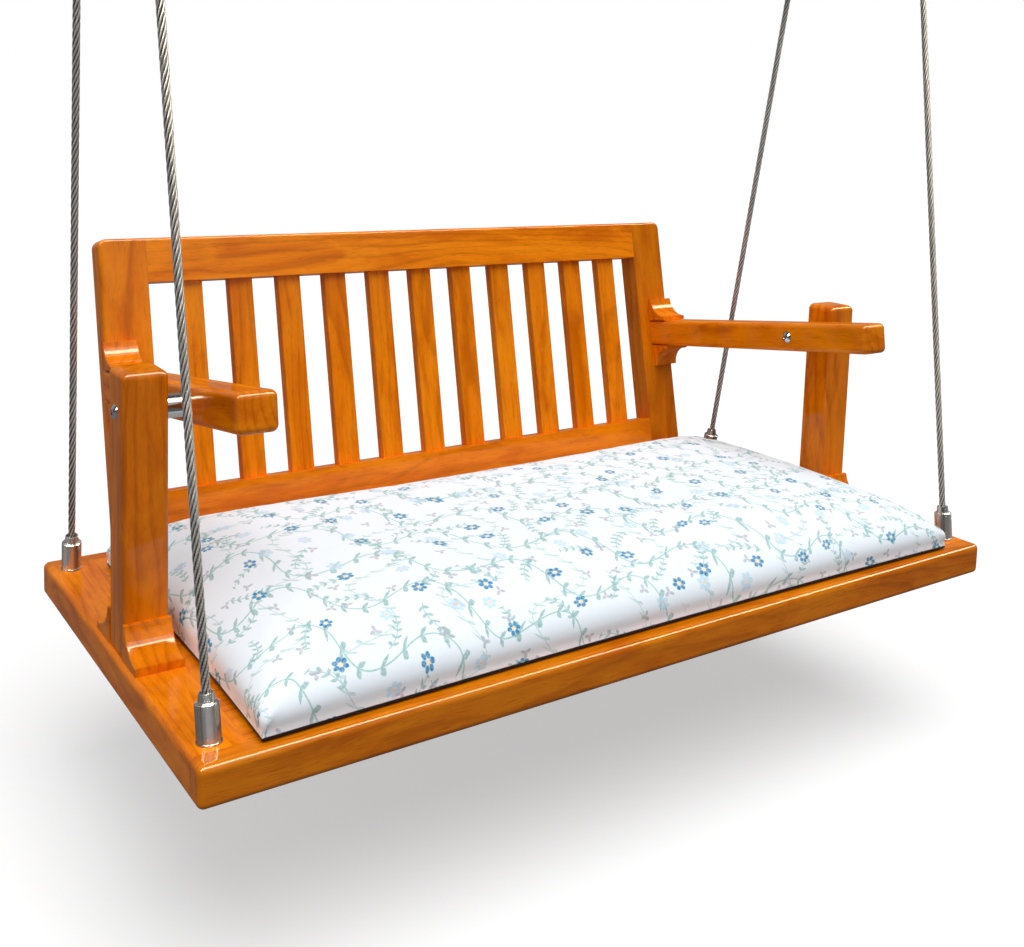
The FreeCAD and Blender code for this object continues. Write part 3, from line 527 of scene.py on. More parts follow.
@dataclass(frozen=True)
class TeakFinish(Finish):
    """Honey teak under gloss varnish."""

    grain: Grain
    heart: Triple
    # How much lighter or darker this piece's colours are; on some pieces it paints in light or
    # shade, as noted where they are dressed
    tone: float = 1.0
    board_pitch: float = 0.0
    board_shift: float = 0.6
    board_lift: float = 0.4
    honey: Colour = screen(229, 124, 7)
    pale: Colour = screen(240, 141, 18)
    umber: Colour = screen(203, 99, 4)
    late_wood: Colour = screen(150, 64, 2)
    pore: Colour = screen(112, 44, 2)
    pale_range: Range = (0.50, 0.70, 0.0, 0.6)
    umber_range: Range = (0.28, 0.56, 0.85, 0.0)
    streak_range: Range = (0.42, 0.78, 0.0, 0.42)
    ring_range: Range = (0.44, 0.62, 0.33, 0.10)
    ring_gap: float = 0.013
    pore_share: float = 0.34
    rough_range: Range = (0.3, 0.8, 0.24, 0.33)
    smeared: float = 0.08
    coat: float = 0.5
    coat_roughness: float = 0.06
    coat_index: float = 1.5
    edge: float = 0.0012
    pore_relief: float = 0.6
    bump: float = 0.16
    relief: float = 0.0002

    def inputs(self, wiring: Wiring) -> dict[str, Value]:
        """Wires the figure, the varnish's gloss and the softened edges."""
        place = self.spot(wiring)
        spot = wiring.out(wiring.add("ShaderNodeMapping", {
            "Vector": place, "Location": self.heart,
            "Rotation": tuple(map(math.radians, self.grain.value))}, vector_type="POINT"))
        lift = 0.5
        if self.board_pitch:
            across = wiring.split(place)[0] + self.board_pitch / 2
            lift, shift = wiring.chance(wiring.sum("FLOOR", across / self.board_pitch))
            spot = wiring.vector("ADD", spot, wiring.scaled(shift, self.board_shift))
        figure = WoodFigure().place(wiring, place=spot, ring_gap=self.ring_gap)
        clouds, fibres, pores = figure["clouds"], figure["fibres"], figure["pores"]
        honey, pale, umber, late_wood = (toned(colour, self.tone) for colour in (
            self.honey, self.pale, self.umber, self.late_wood))
        colour = wiring.blend(lift * self.board_lift + wiring.spread(clouds, *self.pale_range),
                              honey, pale)
        for share, over in (
                (wiring.spread(clouds, *self.umber_range, smooth=True), umber),
                (wiring.spread(fibres, *self.streak_range), umber),
                (figure["rings"] * wiring.spread(clouds, *self.ring_range), late_wood),
                (pores * self.pore_share, self.pore)):
            colour = wiring.blend(share, colour, over)
        smears = Handling().place(wiring, place=place)["smears"]
        edge = SoftEdge().place(wiring, radius=self.edge)["normal"]
        return {"Base Color": colour,
                "Roughness": smears * self.smeared + wiring.spread(fibres, *self.rough_range),
                "Specular IOR Level": 0.0, "Coat Weight": self.coat,
                "Coat Roughness": self.coat_roughness, "Coat IOR": self.coat_index,
                "Normal": wiring.relief(fibres - pores * self.pore_relief, self.bump,
                                        self.relief, Normal=edge)}


class Axis(Enum):
    """The direction along which a turned piece's marks follow each other."""

    ACROSS = 0
    DEEP = 1
    UP = 2


@dataclass(frozen=True)
class SteelFinish(Finish):
    """Turned, drawn or plated steel."""

    colour: Colour = (0.50, 0.49, 0.48)
    # The colour that lathe marks, smears and the painted reflection bands darken towards
    dark: Colour = (0.14, 0.135, 0.13)
    roughness: float = 0.24
    spread: float = 0.12
    axis: Axis = Axis.UP
    # How strongly the painted reflection bands darken the colour
    banded: float = 0.0
    lean: Pair = (0.0198, -0.1441)
    marked: float = 1.0
    mark_range: Pair = (0.42, 0.62)
    mark_tone: float = 0.16
    rough_range: Pair = (0.3, 0.7)
    smeared: float = 0.15
    metallic: float = 1.0
    edge: float = 0.0004
    bump: float = 0.35
    relief: float = 0.00004

    def inputs(self, wiring: Wiring) -> dict[str, Value]:
        """Wires the marks into tone, gloss and relief; where bands are set, paints reflection
        bands into the tone.
        """
        place = self.spot(wiring)
        marks = LatheMarks().place(wiring, along=wiring.split(place)[self.axis.value])["marks"]
        smears = Handling().place(wiring, place=place)["smears"]
        tone = smears * self.smeared + wiring.spread(
            marks, *self.mark_range, self.mark_tone * self.marked, 0.0)
        # Painted reflection: dark and light bands round the socket, added to the tone
        if self.banded:
            across, back, foot = ROPE_FOOT
            bands = PaintedReflectionBands().place(wiring, place=place, across=across, back=back, foot=foot,
                                        lean_across=self.lean[0], lean_back=self.lean[1])
            tone = wiring.sum("MULTIPLY_ADD", bands["bands"], self.banded, tone, clamp=True)
        low, high = self.roughness - self.spread / 2, self.roughness + self.spread / 2
        edge = SoftEdge().place(wiring, radius=self.edge)["normal"]
        return {"Base Color": wiring.blend(tone, self.colour, self.dark),
                "Roughness": wiring.spread(marks, *self.rough_range, low, high),
                "Metallic": self.metallic,
                "Normal": wiring.relief(marks, self.bump * self.marked, self.relief,
                                        Normal=edge)}


@dataclass(frozen=True)
class RopeFinish(Finish):
    """Bare drawn wire, with painted shade that darkens its grooves."""

    title: str = "drawn wire"
    colour: Colour = (0.80, 0.78, 0.78)
    # Near-black painted shade for the grooves between the strands
    groove: Colour = (0.012, 0.011, 0.010)
    grime_range: Pair = (0.45, 1.0)
    dull: float = 0.55
    streak: Triple = (600.0, 600.0, 90.0)
    streak_range: Range = (0.4, 0.7, 0.0, 0.6)
    rough_range: Range = (0.4, 1.0, 0.5, 0.26)
    smeared: float = 0.1
    metallic: float = 0.8
    bump: float = 0.3
    relief: float = 0.00008

    def inputs(self, wiring: Wiring) -> dict[str, Value]:
        """Wires painted shade into the grooves by their depth."""
        depth = wiring.out(wiring.add("ShaderNodeAttribute", {}, attribute_name="depth"), "Fac")
        place = self.spot(wiring)
        smears = Handling().place(wiring, place=place)["smears"]
        streaks = wiring.noise(place, self.streak)
        # Painted shade: the colour darkens to near black deep in the grooves
        colour = wiring.blend(wiring.fall(depth, *self.grime_range, smooth=True), self.colour,
                              self.groove)
        colour = wiring.blend(wiring.spread(streaks, *self.streak_range), colour,
                              toned(self.colour, self.dull))
        return {"Base Color": colour,
                "Roughness": smears * self.smeared + wiring.spread(depth, *self.rough_range),
                "Metallic": self.metallic,
                "Normal": wiring.relief(streaks, self.bump, self.relief)}


Finishes = dict[Union[str, tuple[str, ...]], Finish]


class Assembly:
    """Pieces of the frame that go together."""

    def finishes(self) -> Finishes:
        """Gives each finish by how the names of the pieces that get it start."""
        raise NotImplementedError

    def dress(self) -> None:
        """Gives the pieces their materials."""
        for starts, finish in self.finishes().items():
            material = finish.material()
            for name in sorted(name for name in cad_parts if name.startswith(starts)):
                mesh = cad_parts[name].data
                mesh.materials.clear()
                mesh.materials.append(material)
                LOG.info("%s is dressed in %s", name, material.name)


@dataclass
class Deck(Assembly):
    """The seat's frame of boards, its planks and the battens under them."""

    def finishes(self) -> Finishes:
        """Gives the boards' finishes by the way their grain runs."""
        return {
            # Darker than the other teak: painted shade on the deck's front face
            ("deck_front_rail", "deck_back_rail"): TeakFinish(
                "teak edge rails", Grain.ACROSS, (0.31, 0.34, 1.02), tone=0.84),
            "deck_side_board": TeakFinish("teak side boards", Grain.DEEP, (0.12, 0.63, 1.03)),
            "seat_planks": TeakFinish("teak planks", Grain.ACROSS, (0.7, 0.11, 1.05)),
            "deck_battens": TeakFinish("teak battens", Grain.DEEP, (0.4, 0.2, 1.07))}


@dataclass
class Posts(Assembly):
    """The two posts, their coves and the steel that joins them to deck and arms."""

    def finishes(self) -> Finishes:
        """Gives the finishes of wood and fittings."""
        return {
            "post_left": TeakFinish("teak left post", Grain.UPRIGHT, (0.35, 0.05, -0.52),
                                    tone=0.9),
            "post_right": TeakFinish("teak right post", Grain.UPRIGHT, (0.11, 0.06, 0.63)),
            "post_coves": TeakFinish("teak coves", Grain.DEEP, (0.2, 0.55, 0.98), tone=0.92),
            ("post_screws", "pivot_bolts", "pivot_barrel_nuts"): SteelFinish(
                "plated bolts", (0.62, 0.62, 0.63), roughness=0.14, spread=0.05,
                axis=Axis.ACROSS),
            "pivot_hub": SteelFinish("polished hubs", (0.40, 0.39, 0.38), roughness=0.14,
                                     spread=0.06, axis=Axis.ACROSS),
            "arm_bush": SteelFinish("bronze bushes", screen(196, 150, 84), screen(112, 78, 36),
                                    roughness=0.28, axis=Axis.ACROSS)}


@dataclass
class Backrest(Assembly):
    """The back's frame and slats with the arms that carry it."""

    slat_pitch: float = 0.0777

    def finishes(self) -> Finishes:
        """Gives the finishes of stiles, rails, slats, arms and brackets."""
        back, arm = Grain.ALONG_BACK, Grain.ALONG_ARM
        return {
            "back_stile_left": TeakFinish("teak left stile", back, (0.1, 0.1, -0.44)),
            "back_stile_right": TeakFinish("teak right stile", back, (0.6, 0.12, 0.55),
                                           tone=0.8),
            "back_top_rail": TeakFinish("teak top rail", Grain.ACROSS, (0.9, -0.30, 0.48),
                                        tone=1.1),
            "back_bottom_rail": TeakFinish("teak bottom rail", Grain.ACROSS, (1.6, -0.2, 0.87)),
            "back_slat": TeakFinish("teak slats", back, (0.4, -0.2, 0.02),
                                    board_pitch=self.slat_pitch),
            # Lifted above the other teak as a painted highlight, for the bright top of this arm
            "arm_left": TeakFinish("teak left arm", arm, (0.3, 0.56, 0.62), tone=1.08),
            "arm_right": TeakFinish("teak right arm", arm, (0.8, -0.42, 0.66)),
            "arm_bracket": TeakFinish("teak brackets", back, (0.05, 0.3, 0.5))}


@dataclass
class Hardware(Assembly):
    """Rope sockets, ball ends, rings and ceiling hangers."""

    def finishes(self) -> Finishes:
        """Gives the steel's finishes."""
        return {
            # The sockets' colour carries painted reflection bands
            "rope_socket": SteelFinish("turned sockets", (0.84, 0.83, 0.82),
                                       (0.10, 0.095, 0.09), roughness=0.22, spread=0.06,
                                       banded=0.85, marked=0.3, metallic=0.75),
            "rope_balls": SteelFinish("ball ends"),
            "rope_eye": SteelFinish("rings and sleeves", roughness=0.22),
            ("socket_washers", "socket_nuts"): SteelFinish("plated nuts", (0.60, 0.60, 0.61),
                                                           roughness=0.2),
            "ceiling_hanger": SteelFinish("satin hangers", roughness=0.34, axis=Axis.DEEP)}


def placed(name: str, data: bpy.types.ID) -> bpy.types.Object:
    """Makes an object and links it to the scene.

    Args:
        name: Its name.
        data: Its mesh, curve, lamp or camera.

    Returns:
        The object.
    """
    made = bpy.data.objects.new(name, data)
    bpy.context.scene.collection.objects.link(made)
    return made


def evaluated(thing: bpy.types.Object) -> bpy.types.Object:
    """Gives an object as its curve or its modifiers leave it."""
    return thing.evaluated_get(bpy.context.evaluated_depsgraph_get())


def smoothed(shape: bmesh.types.BMesh) -> None:
    """Shades all faces smooth."""
    for face in shape.faces:
        face.smooth = True


def finished(name: str, shape: bmesh.types.BMesh,
             material: bpy.types.Material) -> bpy.types.Object:
    """Turns a shape into an object.

    Args:
        name: Its name.
        shape: Its shape, which is freed.
        material: What it is made of.

    Returns:
        The object.
    """
    mesh = bpy.data.meshes.new(name)
    shape.to_mesh(mesh)
    shape.free()
    mesh.materials.append(material)
    return placed(name, mesh)


def curve_through(name: str, spots: list[Vector], kind: str = "POLY",
                  **settings: object) -> bpy.types.Object:
    """Makes a curve.

    Args:
        name: Its name.
        spots: The points that it goes by.
        kind: The kind of its spline.
        settings: Its properties.

    Returns:
        The curve's object.
    """
    curve = bpy.data.curves.new(name, "CURVE")
    for key, value in settings.items():
        setattr(curve, key, value)
    spline = curve.splines.new(kind)
    spline.points.add(len(spots) - 1)
    for point, spot in zip(spline.points, spots):
        point.co = (*spot, 1.0)
    return placed(name, curve)


def meshed(*curves: bpy.types.Object) -> bpy.types.Mesh:
    """Makes a mesh of a curve.

    Args:
        curves: The curve's object and those of curves that it is made with. All are removed.

    Returns:
        The first curve's mesh.
    """
    mesh = bpy.data.meshes.new_from_object(evaluated(curves[0]))
    for spare in curves:
        data = spare.data
        bpy.data.objects.remove(spare)
        bpy.data.curves.remove(data)
    return mesh


@dataclass
class WireRope:
    """One straight rope of six strands round a core, each strand lobed by its wires."""

    side: str
    end: str
    run: Pair = (0.0197894, -0.1441242)
    first: float = 0.03893
    length: float = 0.85148
    mouth: float = 0.049
    radius: float = 0.00475
    groove: float = 0.62
    strands: int = 6
    lay: float = 0.066
    wires: int = 6
    wire_lay: float = 0.016
    wire_depth: float = 0.10
    points_per_wire: int = 4
    route_points: int = 6
    route_order: int = 3
    route_steps: int = 80

    def line(self) -> tuple[Vector, Vector]:
        """Finds the line that the rope follows.

        Returns:
            Its foot on the deck and its unit direction.
        """
        across, back = SIDES[self.side], ENDS[self.end]
        foot = Vector((across * ROPE_FOOT[0], back * ROPE_FOOT[1], ROPE_FOOT[2]))
        way = Vector((across * self.run[0], back * self.run[1], 1.0)).normalized()
        return foot, way

    def route(self) -> list[Vector]:
        """Reads the rope's line from its NURBS spline.

        Returns:
            The line's points, from the ball end up.
        """
        foot, way = self.line()
        step = self.length / (self.route_points - 1)
        curve = curve_through("rope route", [foot + way * (self.first + step * index)
                                             for index in range(self.route_points)],
                              "NURBS", dimensions="3D")
        spline = curve.data.splines[0]
        spline.order_u = self.route_order
        spline.use_endpoint_u = True
        spline.resolution_u = self.route_steps
        mesh = meshed(curve)
        points = [vertex.co.copy() for vertex in mesh.vertices]
        bpy.data.meshes.remove(mesh)
        return points

    def section(self, thick: float) -> bpy.types.Object:
        """Makes the lobed outline that a strand is swept with.

        Args:
            thick: The strand's radius.

        Returns:
            The outline.
        """
        spots = []
        count = self.wires * self.points_per_wire
        for index in range(count):
            turn = math.tau * index / count
            lobe = self.wire_depth * abs(math.cos(self.wires * turn / 2))
            reach = thick * (1 - self.wire_depth + lobe)
            spots.append(Vector((reach * math.cos(turn), reach * math.sin(turn), 0.0)))
        outline = curve_through("strand section", spots, dimensions="2D")
        outline.data.splines[0].use_cyclic_u = True
        return outline

    def strand(self, points: list[Vector], reach: float, thick: float) -> bpy.types.Mesh:
        """Sweeps one strand.

        Args:
            points: The rope's line.
            reach: How far the strand's own line lies from the rope's.
            thick: The strand's radius.

        Returns:
            Its mesh.
        """
        _, way = self.line()
        aside = way.orthogonal().normalized()
        beside = way.cross(aside)
        section = self.section(thick)
        gone = [(spot - points[0]).length for spot in points]
        turns = [math.tau * length / self.lay for length in gone]
        strand = curve_through(
            "strand", [spot + (aside * math.cos(turn) + beside * math.sin(turn)) * reach
                       for spot, turn in zip(points, turns)], dimensions="3D",
            bevel_mode="OBJECT", bevel_object=section, use_fill_caps=True, twist_mode="MINIMUM")
        for point, length in zip(strand.data.splines[0].points, gone):
            point.tilt = -math.tau * length / self.wire_lay
        return meshed(strand, section)

    def build(self, material: bpy.types.Material) -> bpy.types.Object:
        """Models the rope and sets it in the place of its CAD solid.

        Args:
            material: The wire's material.

        Returns:
            The finished rope.
        """
        points = self.route()
        foot, way = self.line()
        thick = self.radius / 3
        shape = bmesh.new()
        shape.from_mesh(self.strand(points, self.radius - thick, thick))
        first = list(shape.faces)
        for index in range(1, self.strands):
            copied = bmesh.ops.duplicate(shape, geom=first)["geom"]
            bmesh.ops.rotate(shape, cent=foot, verts=[item for item in copied
                                                      if isinstance(item, bmesh.types.BMVert)],
                             matrix=Matrix.Rotation(math.tau * index / self.strands, 3, way))
        shape.from_mesh(self.strand(points, 0.0, thick))
        # How deep each point lies among the strands; the wire's finish paints shade into the
        # grooves from it
        depth = shape.verts.layers.float.new("depth")
        for vertex in shape.verts:
            offset = vertex.co - foot
            away = (offset - way * offset.dot(way)).length
            vertex[depth] = (away / self.radius - self.groove) / (1 - self.groove)
        smoothed(shape)
        bmesh.ops.recalc_face_normals(shape, faces=shape.faces)
        rope = finished(f"wire_rope_{self.end}_{self.side}", shape, material)
        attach(rope, f"{self.end}_ropes")
        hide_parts(f"rope_{self.end}_{self.side}")
        LOG.info("%s has %d faces", rope.name, len(rope.data.polygons))
        return rope


class Scatter(SharedGroup):
    """Places one motif in each cell of an uneven field, each turned its own way."""

    title = "Scatter"
    takes = {"place": PLACE, "spacing": NUMBER, "shift": NUMBER, "randomness": NUMBER}
    gives = {"local": PLACE, "chance": NUMBER}

    def build(self, wiring: Wiring, given: Wires) -> Wires:
        """Wires the way from a cell's middle and its random number."""
        spacing, shift = given["spacing"], given["shift"]
        across, up, _ = wiring.split(given["place"])
        spot = wiring.joined(across / spacing + shift, up / spacing - shift)
        cells = wiring.add("ShaderNodeTexVoronoi", {}, voronoi_dimensions="2D", feature="F1")
        wiring.fill(cells, {"Vector": spot, "Scale": 1.0, "Randomness": given["randomness"]})
        away = wiring.vector("SUBTRACT", spot, wiring.out(cells, "Position"))
        turn, chance, _ = wiring.split(wiring.out(cells, "Color"))
        x, y, _ = wiring.split(wiring.turned(away, turn * math.tau))
        return {"local": wiring.joined(x * spacing, y * spacing), "chance": chance}


class Blossom(SharedGroup):
    """A round flower of separate oval petals with an eye."""

    title = "Blossom"
    takes = {"local": PLACE, "petals": NUMBER, "reach": NUMBER, "long": NUMBER,
             "wide": NUMBER, "eye": NUMBER}
    gives = {"petal": NUMBER, "eye_mask": NUMBER, "rim": NUMBER}
    petal_edge, eye_edge, rim_range = (0.9, 1.08), (0.85, 1.15), (0.5, 1.0)

    def build(self, wiring: Wiring, given: Wires) -> Wires:
        """Wires one petal, repeated round the middle."""
        x, y, _ = wiring.split(given["local"])
        radius, petals = wiring.length(x, y), given["petals"]
        turn = wiring.sum("FRACT", wiring.sum("ARCTAN2", y, x) * petals / math.tau + 0.5) - 0.5
        turn = turn * math.tau / petals
        oval = wiring.length(
            (radius * wiring.sum("COSINE", turn) - given["reach"]) / given["long"],
            radius * wiring.sum("SINE", turn) / given["wide"])
        return {"petal": wiring.fall(oval, *self.petal_edge),
                "eye_mask": wiring.fall(radius / given["eye"], *self.eye_edge),
                "rim": wiring.spread(oval, *self.rim_range)}


class LeafPairs(SharedGroup):
    """Leaves in pairs along a stem that runs along X."""

    title = "Leaf pairs"
    takes = {"along": NUMBER, "aside": NUMBER, "pitch": NUMBER, "leaf": NUMBER, "slim": NUMBER,
             "stem": NUMBER}
    gives = {"leaves": NUMBER, "stem_mask": NUMBER}
    lean = math.radians(48.0)
    root, taper, belly = 0.12, 0.55, 0.78
    leaf_edge, stem_edge = (0.88, 1.1), (0.75, 1.2)

    def build(self, wiring: Wiring, given: Wires) -> Wires:
        """Wires one leaf, mirrored over the stem and repeated along it."""
        cosine, sine = math.cos(self.lean), math.sin(self.lean)
        step = wiring.sum("FRACT", given["along"] / given["pitch"])
        forward = (step - self.root) * given["pitch"]
        away = abs(given["aside"])
        half = given["leaf"] / 2
        share = (forward * cosine + away * sine - half) / half
        width = (away * cosine - forward * sine) / (half * given["slim"])
        oval = wiring.length(share, width * (abs(share) * self.taper + self.belly))
        return {"leaves": wiring.fall(oval, *self.leaf_edge),
                "stem_mask": wiring.fall(away / given["stem"], *self.stem_edge)}


class Vine(SharedGroup):
    """Wandering stems in rows along X, each with its own phase."""

    title = "Vine"
    takes = {"place": PLACE, "pitch": NUMBER, "swing": NUMBER, "wave": NUMBER, "seed": NUMBER}
    gives = {"along": NUMBER, "aside": NUMBER}
    detour = 1.28

    def build(self, wiring: Wiring, given: Wires) -> Wires:
        """Wires the distance along the nearest stem and the distance from it."""
        x, y, _ = wiring.split(given["place"])
        swing, wave = given["swing"], given["wave"]
        row = wiring.sum("ROUND", y / given["pitch"])
        turn = wiring.chance(row + given["seed"])[0] * math.tau + x * math.tau / wave
        middle = row * given["pitch"] + swing * wiring.sum("SINE", turn)
        slope = wiring.sum("COSINE", turn) * (swing * math.tau / wave)
        steep = wiring.sum("SQRT", slope * slope + 1.0)
        return {"along": x * self.detour, "aside": (y - middle) / steep}


@dataclass(frozen=True)
class LeafSizes:
    """The leaf pairs' pitch, a leaf's length, its width as a share of it, half a stem's width."""

    pitch: float
    leaf: float
    slim: float
    stem: float


@dataclass(frozen=True)
class VineRows:
    """Rows of vines over the whole cloth, turned by an angle."""

    turn: float
    pitch: float
    swing: float
    wave: float
    seed: float
    leaves: LeafSizes

    def masks(self, wiring: Wiring, place: Wire) -> Wires:
        """Wires the masks of leaves and stems."""
        vine = Vine().place(wiring, place=wiring.turned(place, math.radians(self.turn)),
                            pitch=self.pitch, swing=self.swing, wave=self.wave, seed=self.seed)
        return LeafPairs().place(wiring, **vine, **vars(self.leaves))


@dataclass(frozen=True)
class Sprigs:
    """Short bent stems with leaf pairs, scattered over the cloth."""

    spacing: float
    shift: float
    long: float
    bend: float
    leaves: LeafSizes
    randomness: float = 0.6
    fade: float = 0.0004

    def masks(self, wiring: Wiring, place: Wire) -> Wires:
        """Wires the masks of leaves and stems.

        Args:
            wiring: The material's wiring.
            place: Where on the cloth.

        Returns:
            The masks by name.
        """
        cell = Scatter().place(wiring, place=place, spacing=self.spacing, shift=self.shift,
                               randomness=self.randomness)
        x, y, _ = wiring.split(cell["local"])
        made = LeafPairs().place(wiring, along=x, aside=y - x * x * self.bend,
                                 **vars(self.leaves))
        within = wiring.fall(abs(x), self.long / 2 - self.fade, self.long / 2)
        return {name: mask * within for name, mask in made.items()}


@dataclass(frozen=True)
class Blossoms:
    """Flowers or buds, scattered over the cloth in a share of its cells."""

    spacing: float
    shift: float
    share: float
    petals: float
    reach: float
    long: float
    wide: float
    eye: float
    randomness: float = 0.75
    cut: float = 0.001

    def masks(self, wiring: Wiring, place: Wire) -> Wires:
        """Wires the masks of petals, their rims and eyes.

        Args:
            wiring: The material's wiring.
            place: Where on the cloth.

        Returns:
            The masks by name.
        """
        cell = Scatter().place(wiring, place=place, spacing=self.spacing, shift=self.shift,
                               randomness=self.randomness)
        made = Blossom().place(wiring, local=cell["local"], petals=self.petals,
                               reach=self.reach, long=self.long, wide=self.wide, eye=self.eye)
        kept = wiring.fall(cell["chance"], self.share, self.share + self.cut)
        return {"petal": made["petal"] * kept, "eye_mask": made["eye_mask"] * kept,
                "rim": made["rim"]}


@dataclass(frozen=True)
class FloralPrint:
    """A plain cottage print: wandering stems, leaf pairs, small flowers and buds."""

    ground: Colour = screen(235, 243, 250)
    stem: Colour = screen(150, 198, 192)
    leaf: Colour = screen(138, 180, 180)
    pale_leaf: Colour = screen(174, 202, 202)
    petal: Colour = screen(0, 162, 206)
    petal_rim: Colour = screen(0, 108, 162)
    eye: Colour = screen(246, 226, 184)
    faint: Colour = screen(188, 220, 242)
    peach: Colour = screen(244, 206, 162)
    bud: Colour = screen(176, 176, 186)
    fineness: float = 1.15
    drift: float = 0.055
    # Scale, detail and roughness of two noises: how the print drifts and how the ink is worn
    drift_noise: Triple = (5.5, 1.0, 0.4)
    ink_noise: Triple = (260.0, 2.0, 0.6)
    ink_range: Range = (0.3, 0.7, 0.62, 1.0)
    pale_vines: VineRows = VineRows(-58.0, 0.125, 0.034, 0.16, 7.0,
                                    LeafSizes(0.021, 0.010, 0.42, 0.0007))
    vines: VineRows = VineRows(32.0, 0.098, 0.033, 0.19, 3.0,
                               LeafSizes(0.034, 0.0150, 0.40, 0.0012))
    sprigs: Sprigs = Sprigs(0.088, 3.4, 0.058, 9.0, LeafSizes(0.0125, 0.0098, 0.40, 0.0008))
    buds: Blossoms = Blossoms(0.056, 8.2, 0.72, 3.0, 0.0048, 0.0044, 0.0026, 0.0010)
    pale_flowers: Blossoms = Blossoms(0.082, 5.7, 0.55, 6.0, 0.0070, 0.0042, 0.0034, 0.0024)
    flowers: Blossoms = Blossoms(0.090, 1.3, 0.86, 6.0, 0.0071, 0.0040, 0.0034, 0.0032)

    def colour(self, wiring: Wiring, cloth: Wire) -> Wire:
        """Lays the print over the ground.

        Args:
            wiring: The material's wiring.
            cloth: The place on the cloth in metres.

        Returns:
            The printed colour.
        """
        cloth = wiring.scaled(cloth, self.fineness)
        drift = wiring.noise(cloth, *self.drift_noise, flat=True, gives="Color")
        drift = wiring.scaled(wiring.vector("SUBTRACT", drift, (0.5, 0.5, 0.5)), self.drift)
        place = wiring.vector("ADD", cloth, drift)
        ink = wiring.spread(wiring.noise(cloth, *self.ink_noise, flat=True), *self.ink_range)
        pale_vines, vines, sprigs, buds, pale_flowers, flowers = (
            motif.masks(wiring, place) for motif in (
                self.pale_vines, self.vines, self.sprigs, self.buds, self.pale_flowers,
                self.flowers))
        petal = wiring.blend(flowers["rim"], self.petal_rim, self.petal)
        colour = self.ground
        for over, mask, strength in (
                (self.pale_leaf, pale_vines["leaves"], 0.75),
                (self.stem, pale_vines["stem_mask"], 0.7),
                (self.stem, vines["stem_mask"], 0.95), (self.leaf, vines["leaves"], 0.9),
                (self.stem, sprigs["stem_mask"], 0.9), (self.leaf, sprigs["leaves"], 0.85),
                (self.bud, buds["petal"], 0.85), (self.faint, pale_flowers["petal"], 0.85),
                (self.peach, pale_flowers["eye_mask"], 0.9), (petal, flowers["petal"], 1.0),
                (self.eye, flowers["eye_mask"], 1.0)):
            share = wiring.sum("MULTIPLY", mask * strength, ink, clamp=True)
            colour = wiring.blend(share, colour, over)
        return colour


@dataclass(frozen=True)
class ClothFinish(Finish):
    """Smooth printed cotton with a fine plain weave, and a near-black painted shadow on the under
    sheet below the seam.
    """

    title: str = "printed cotton"
    pattern: FloralPrint = FloralPrint()
    # Near-black painted shadow for the gap under the seam
    lining: Colour = screen(34, 31, 30)
    lining_from: float = 2.0
    threads: float = 1700.0
    slub: Triple = (80.0, 900.0, 1.0)
    shade_range: Range = (0.2, 0.8, 0.965, 1.0)
    rough_range: Range = (0.2, 0.8, 0.72, 0.86)
    specular: float = 0.03
    sheen: float = 0.08
    sheen_roughness: float = 0.5
    weave: float = 0.4
    bump: float = 0.25
    relief: float = 0.0001

    def inputs(self, wiring: Wiring) -> dict[str, Value]:
        """Wires the print over the weave, both on the cloth's own map, with the painted shadow on
        the under sheet.
        """
        cloth = wiring.out(wiring.add("ShaderNodeUVMap", {}, uv_map="print"), "UV")
        x, y, _ = wiring.split(cloth)
        turn = self.threads * math.tau
        weave = wiring.sum("SINE", x * turn) * wiring.sum("SINE", y * turn)
        slub = wiring.noise(cloth, self.slub, flat=True)
        # Painted shadow: past the top sheet's map, on the under sheet, the colour is the
        # near-black shadow
        colour = wiring.blend(wiring.sum("GREATER_THAN", x, self.lining_from),
                              self.pattern.colour(wiring, cloth), self.lining)
        shade = wiring.spread(slub, *self.shade_range)
        return {"Base Color": wiring.blend(1.0, colour, wiring.joined(shade, shade, shade),
                                           "MULTIPLY"),
                "Roughness": wiring.spread(slub, *self.rough_range),
                "Specular IOR Level": self.specular, "Sheen Weight": self.sheen,
                "Sheen Roughness": self.sheen_roughness,
                "Normal": wiring.relief(weave * self.weave + slub, self.bump, self.relief)}


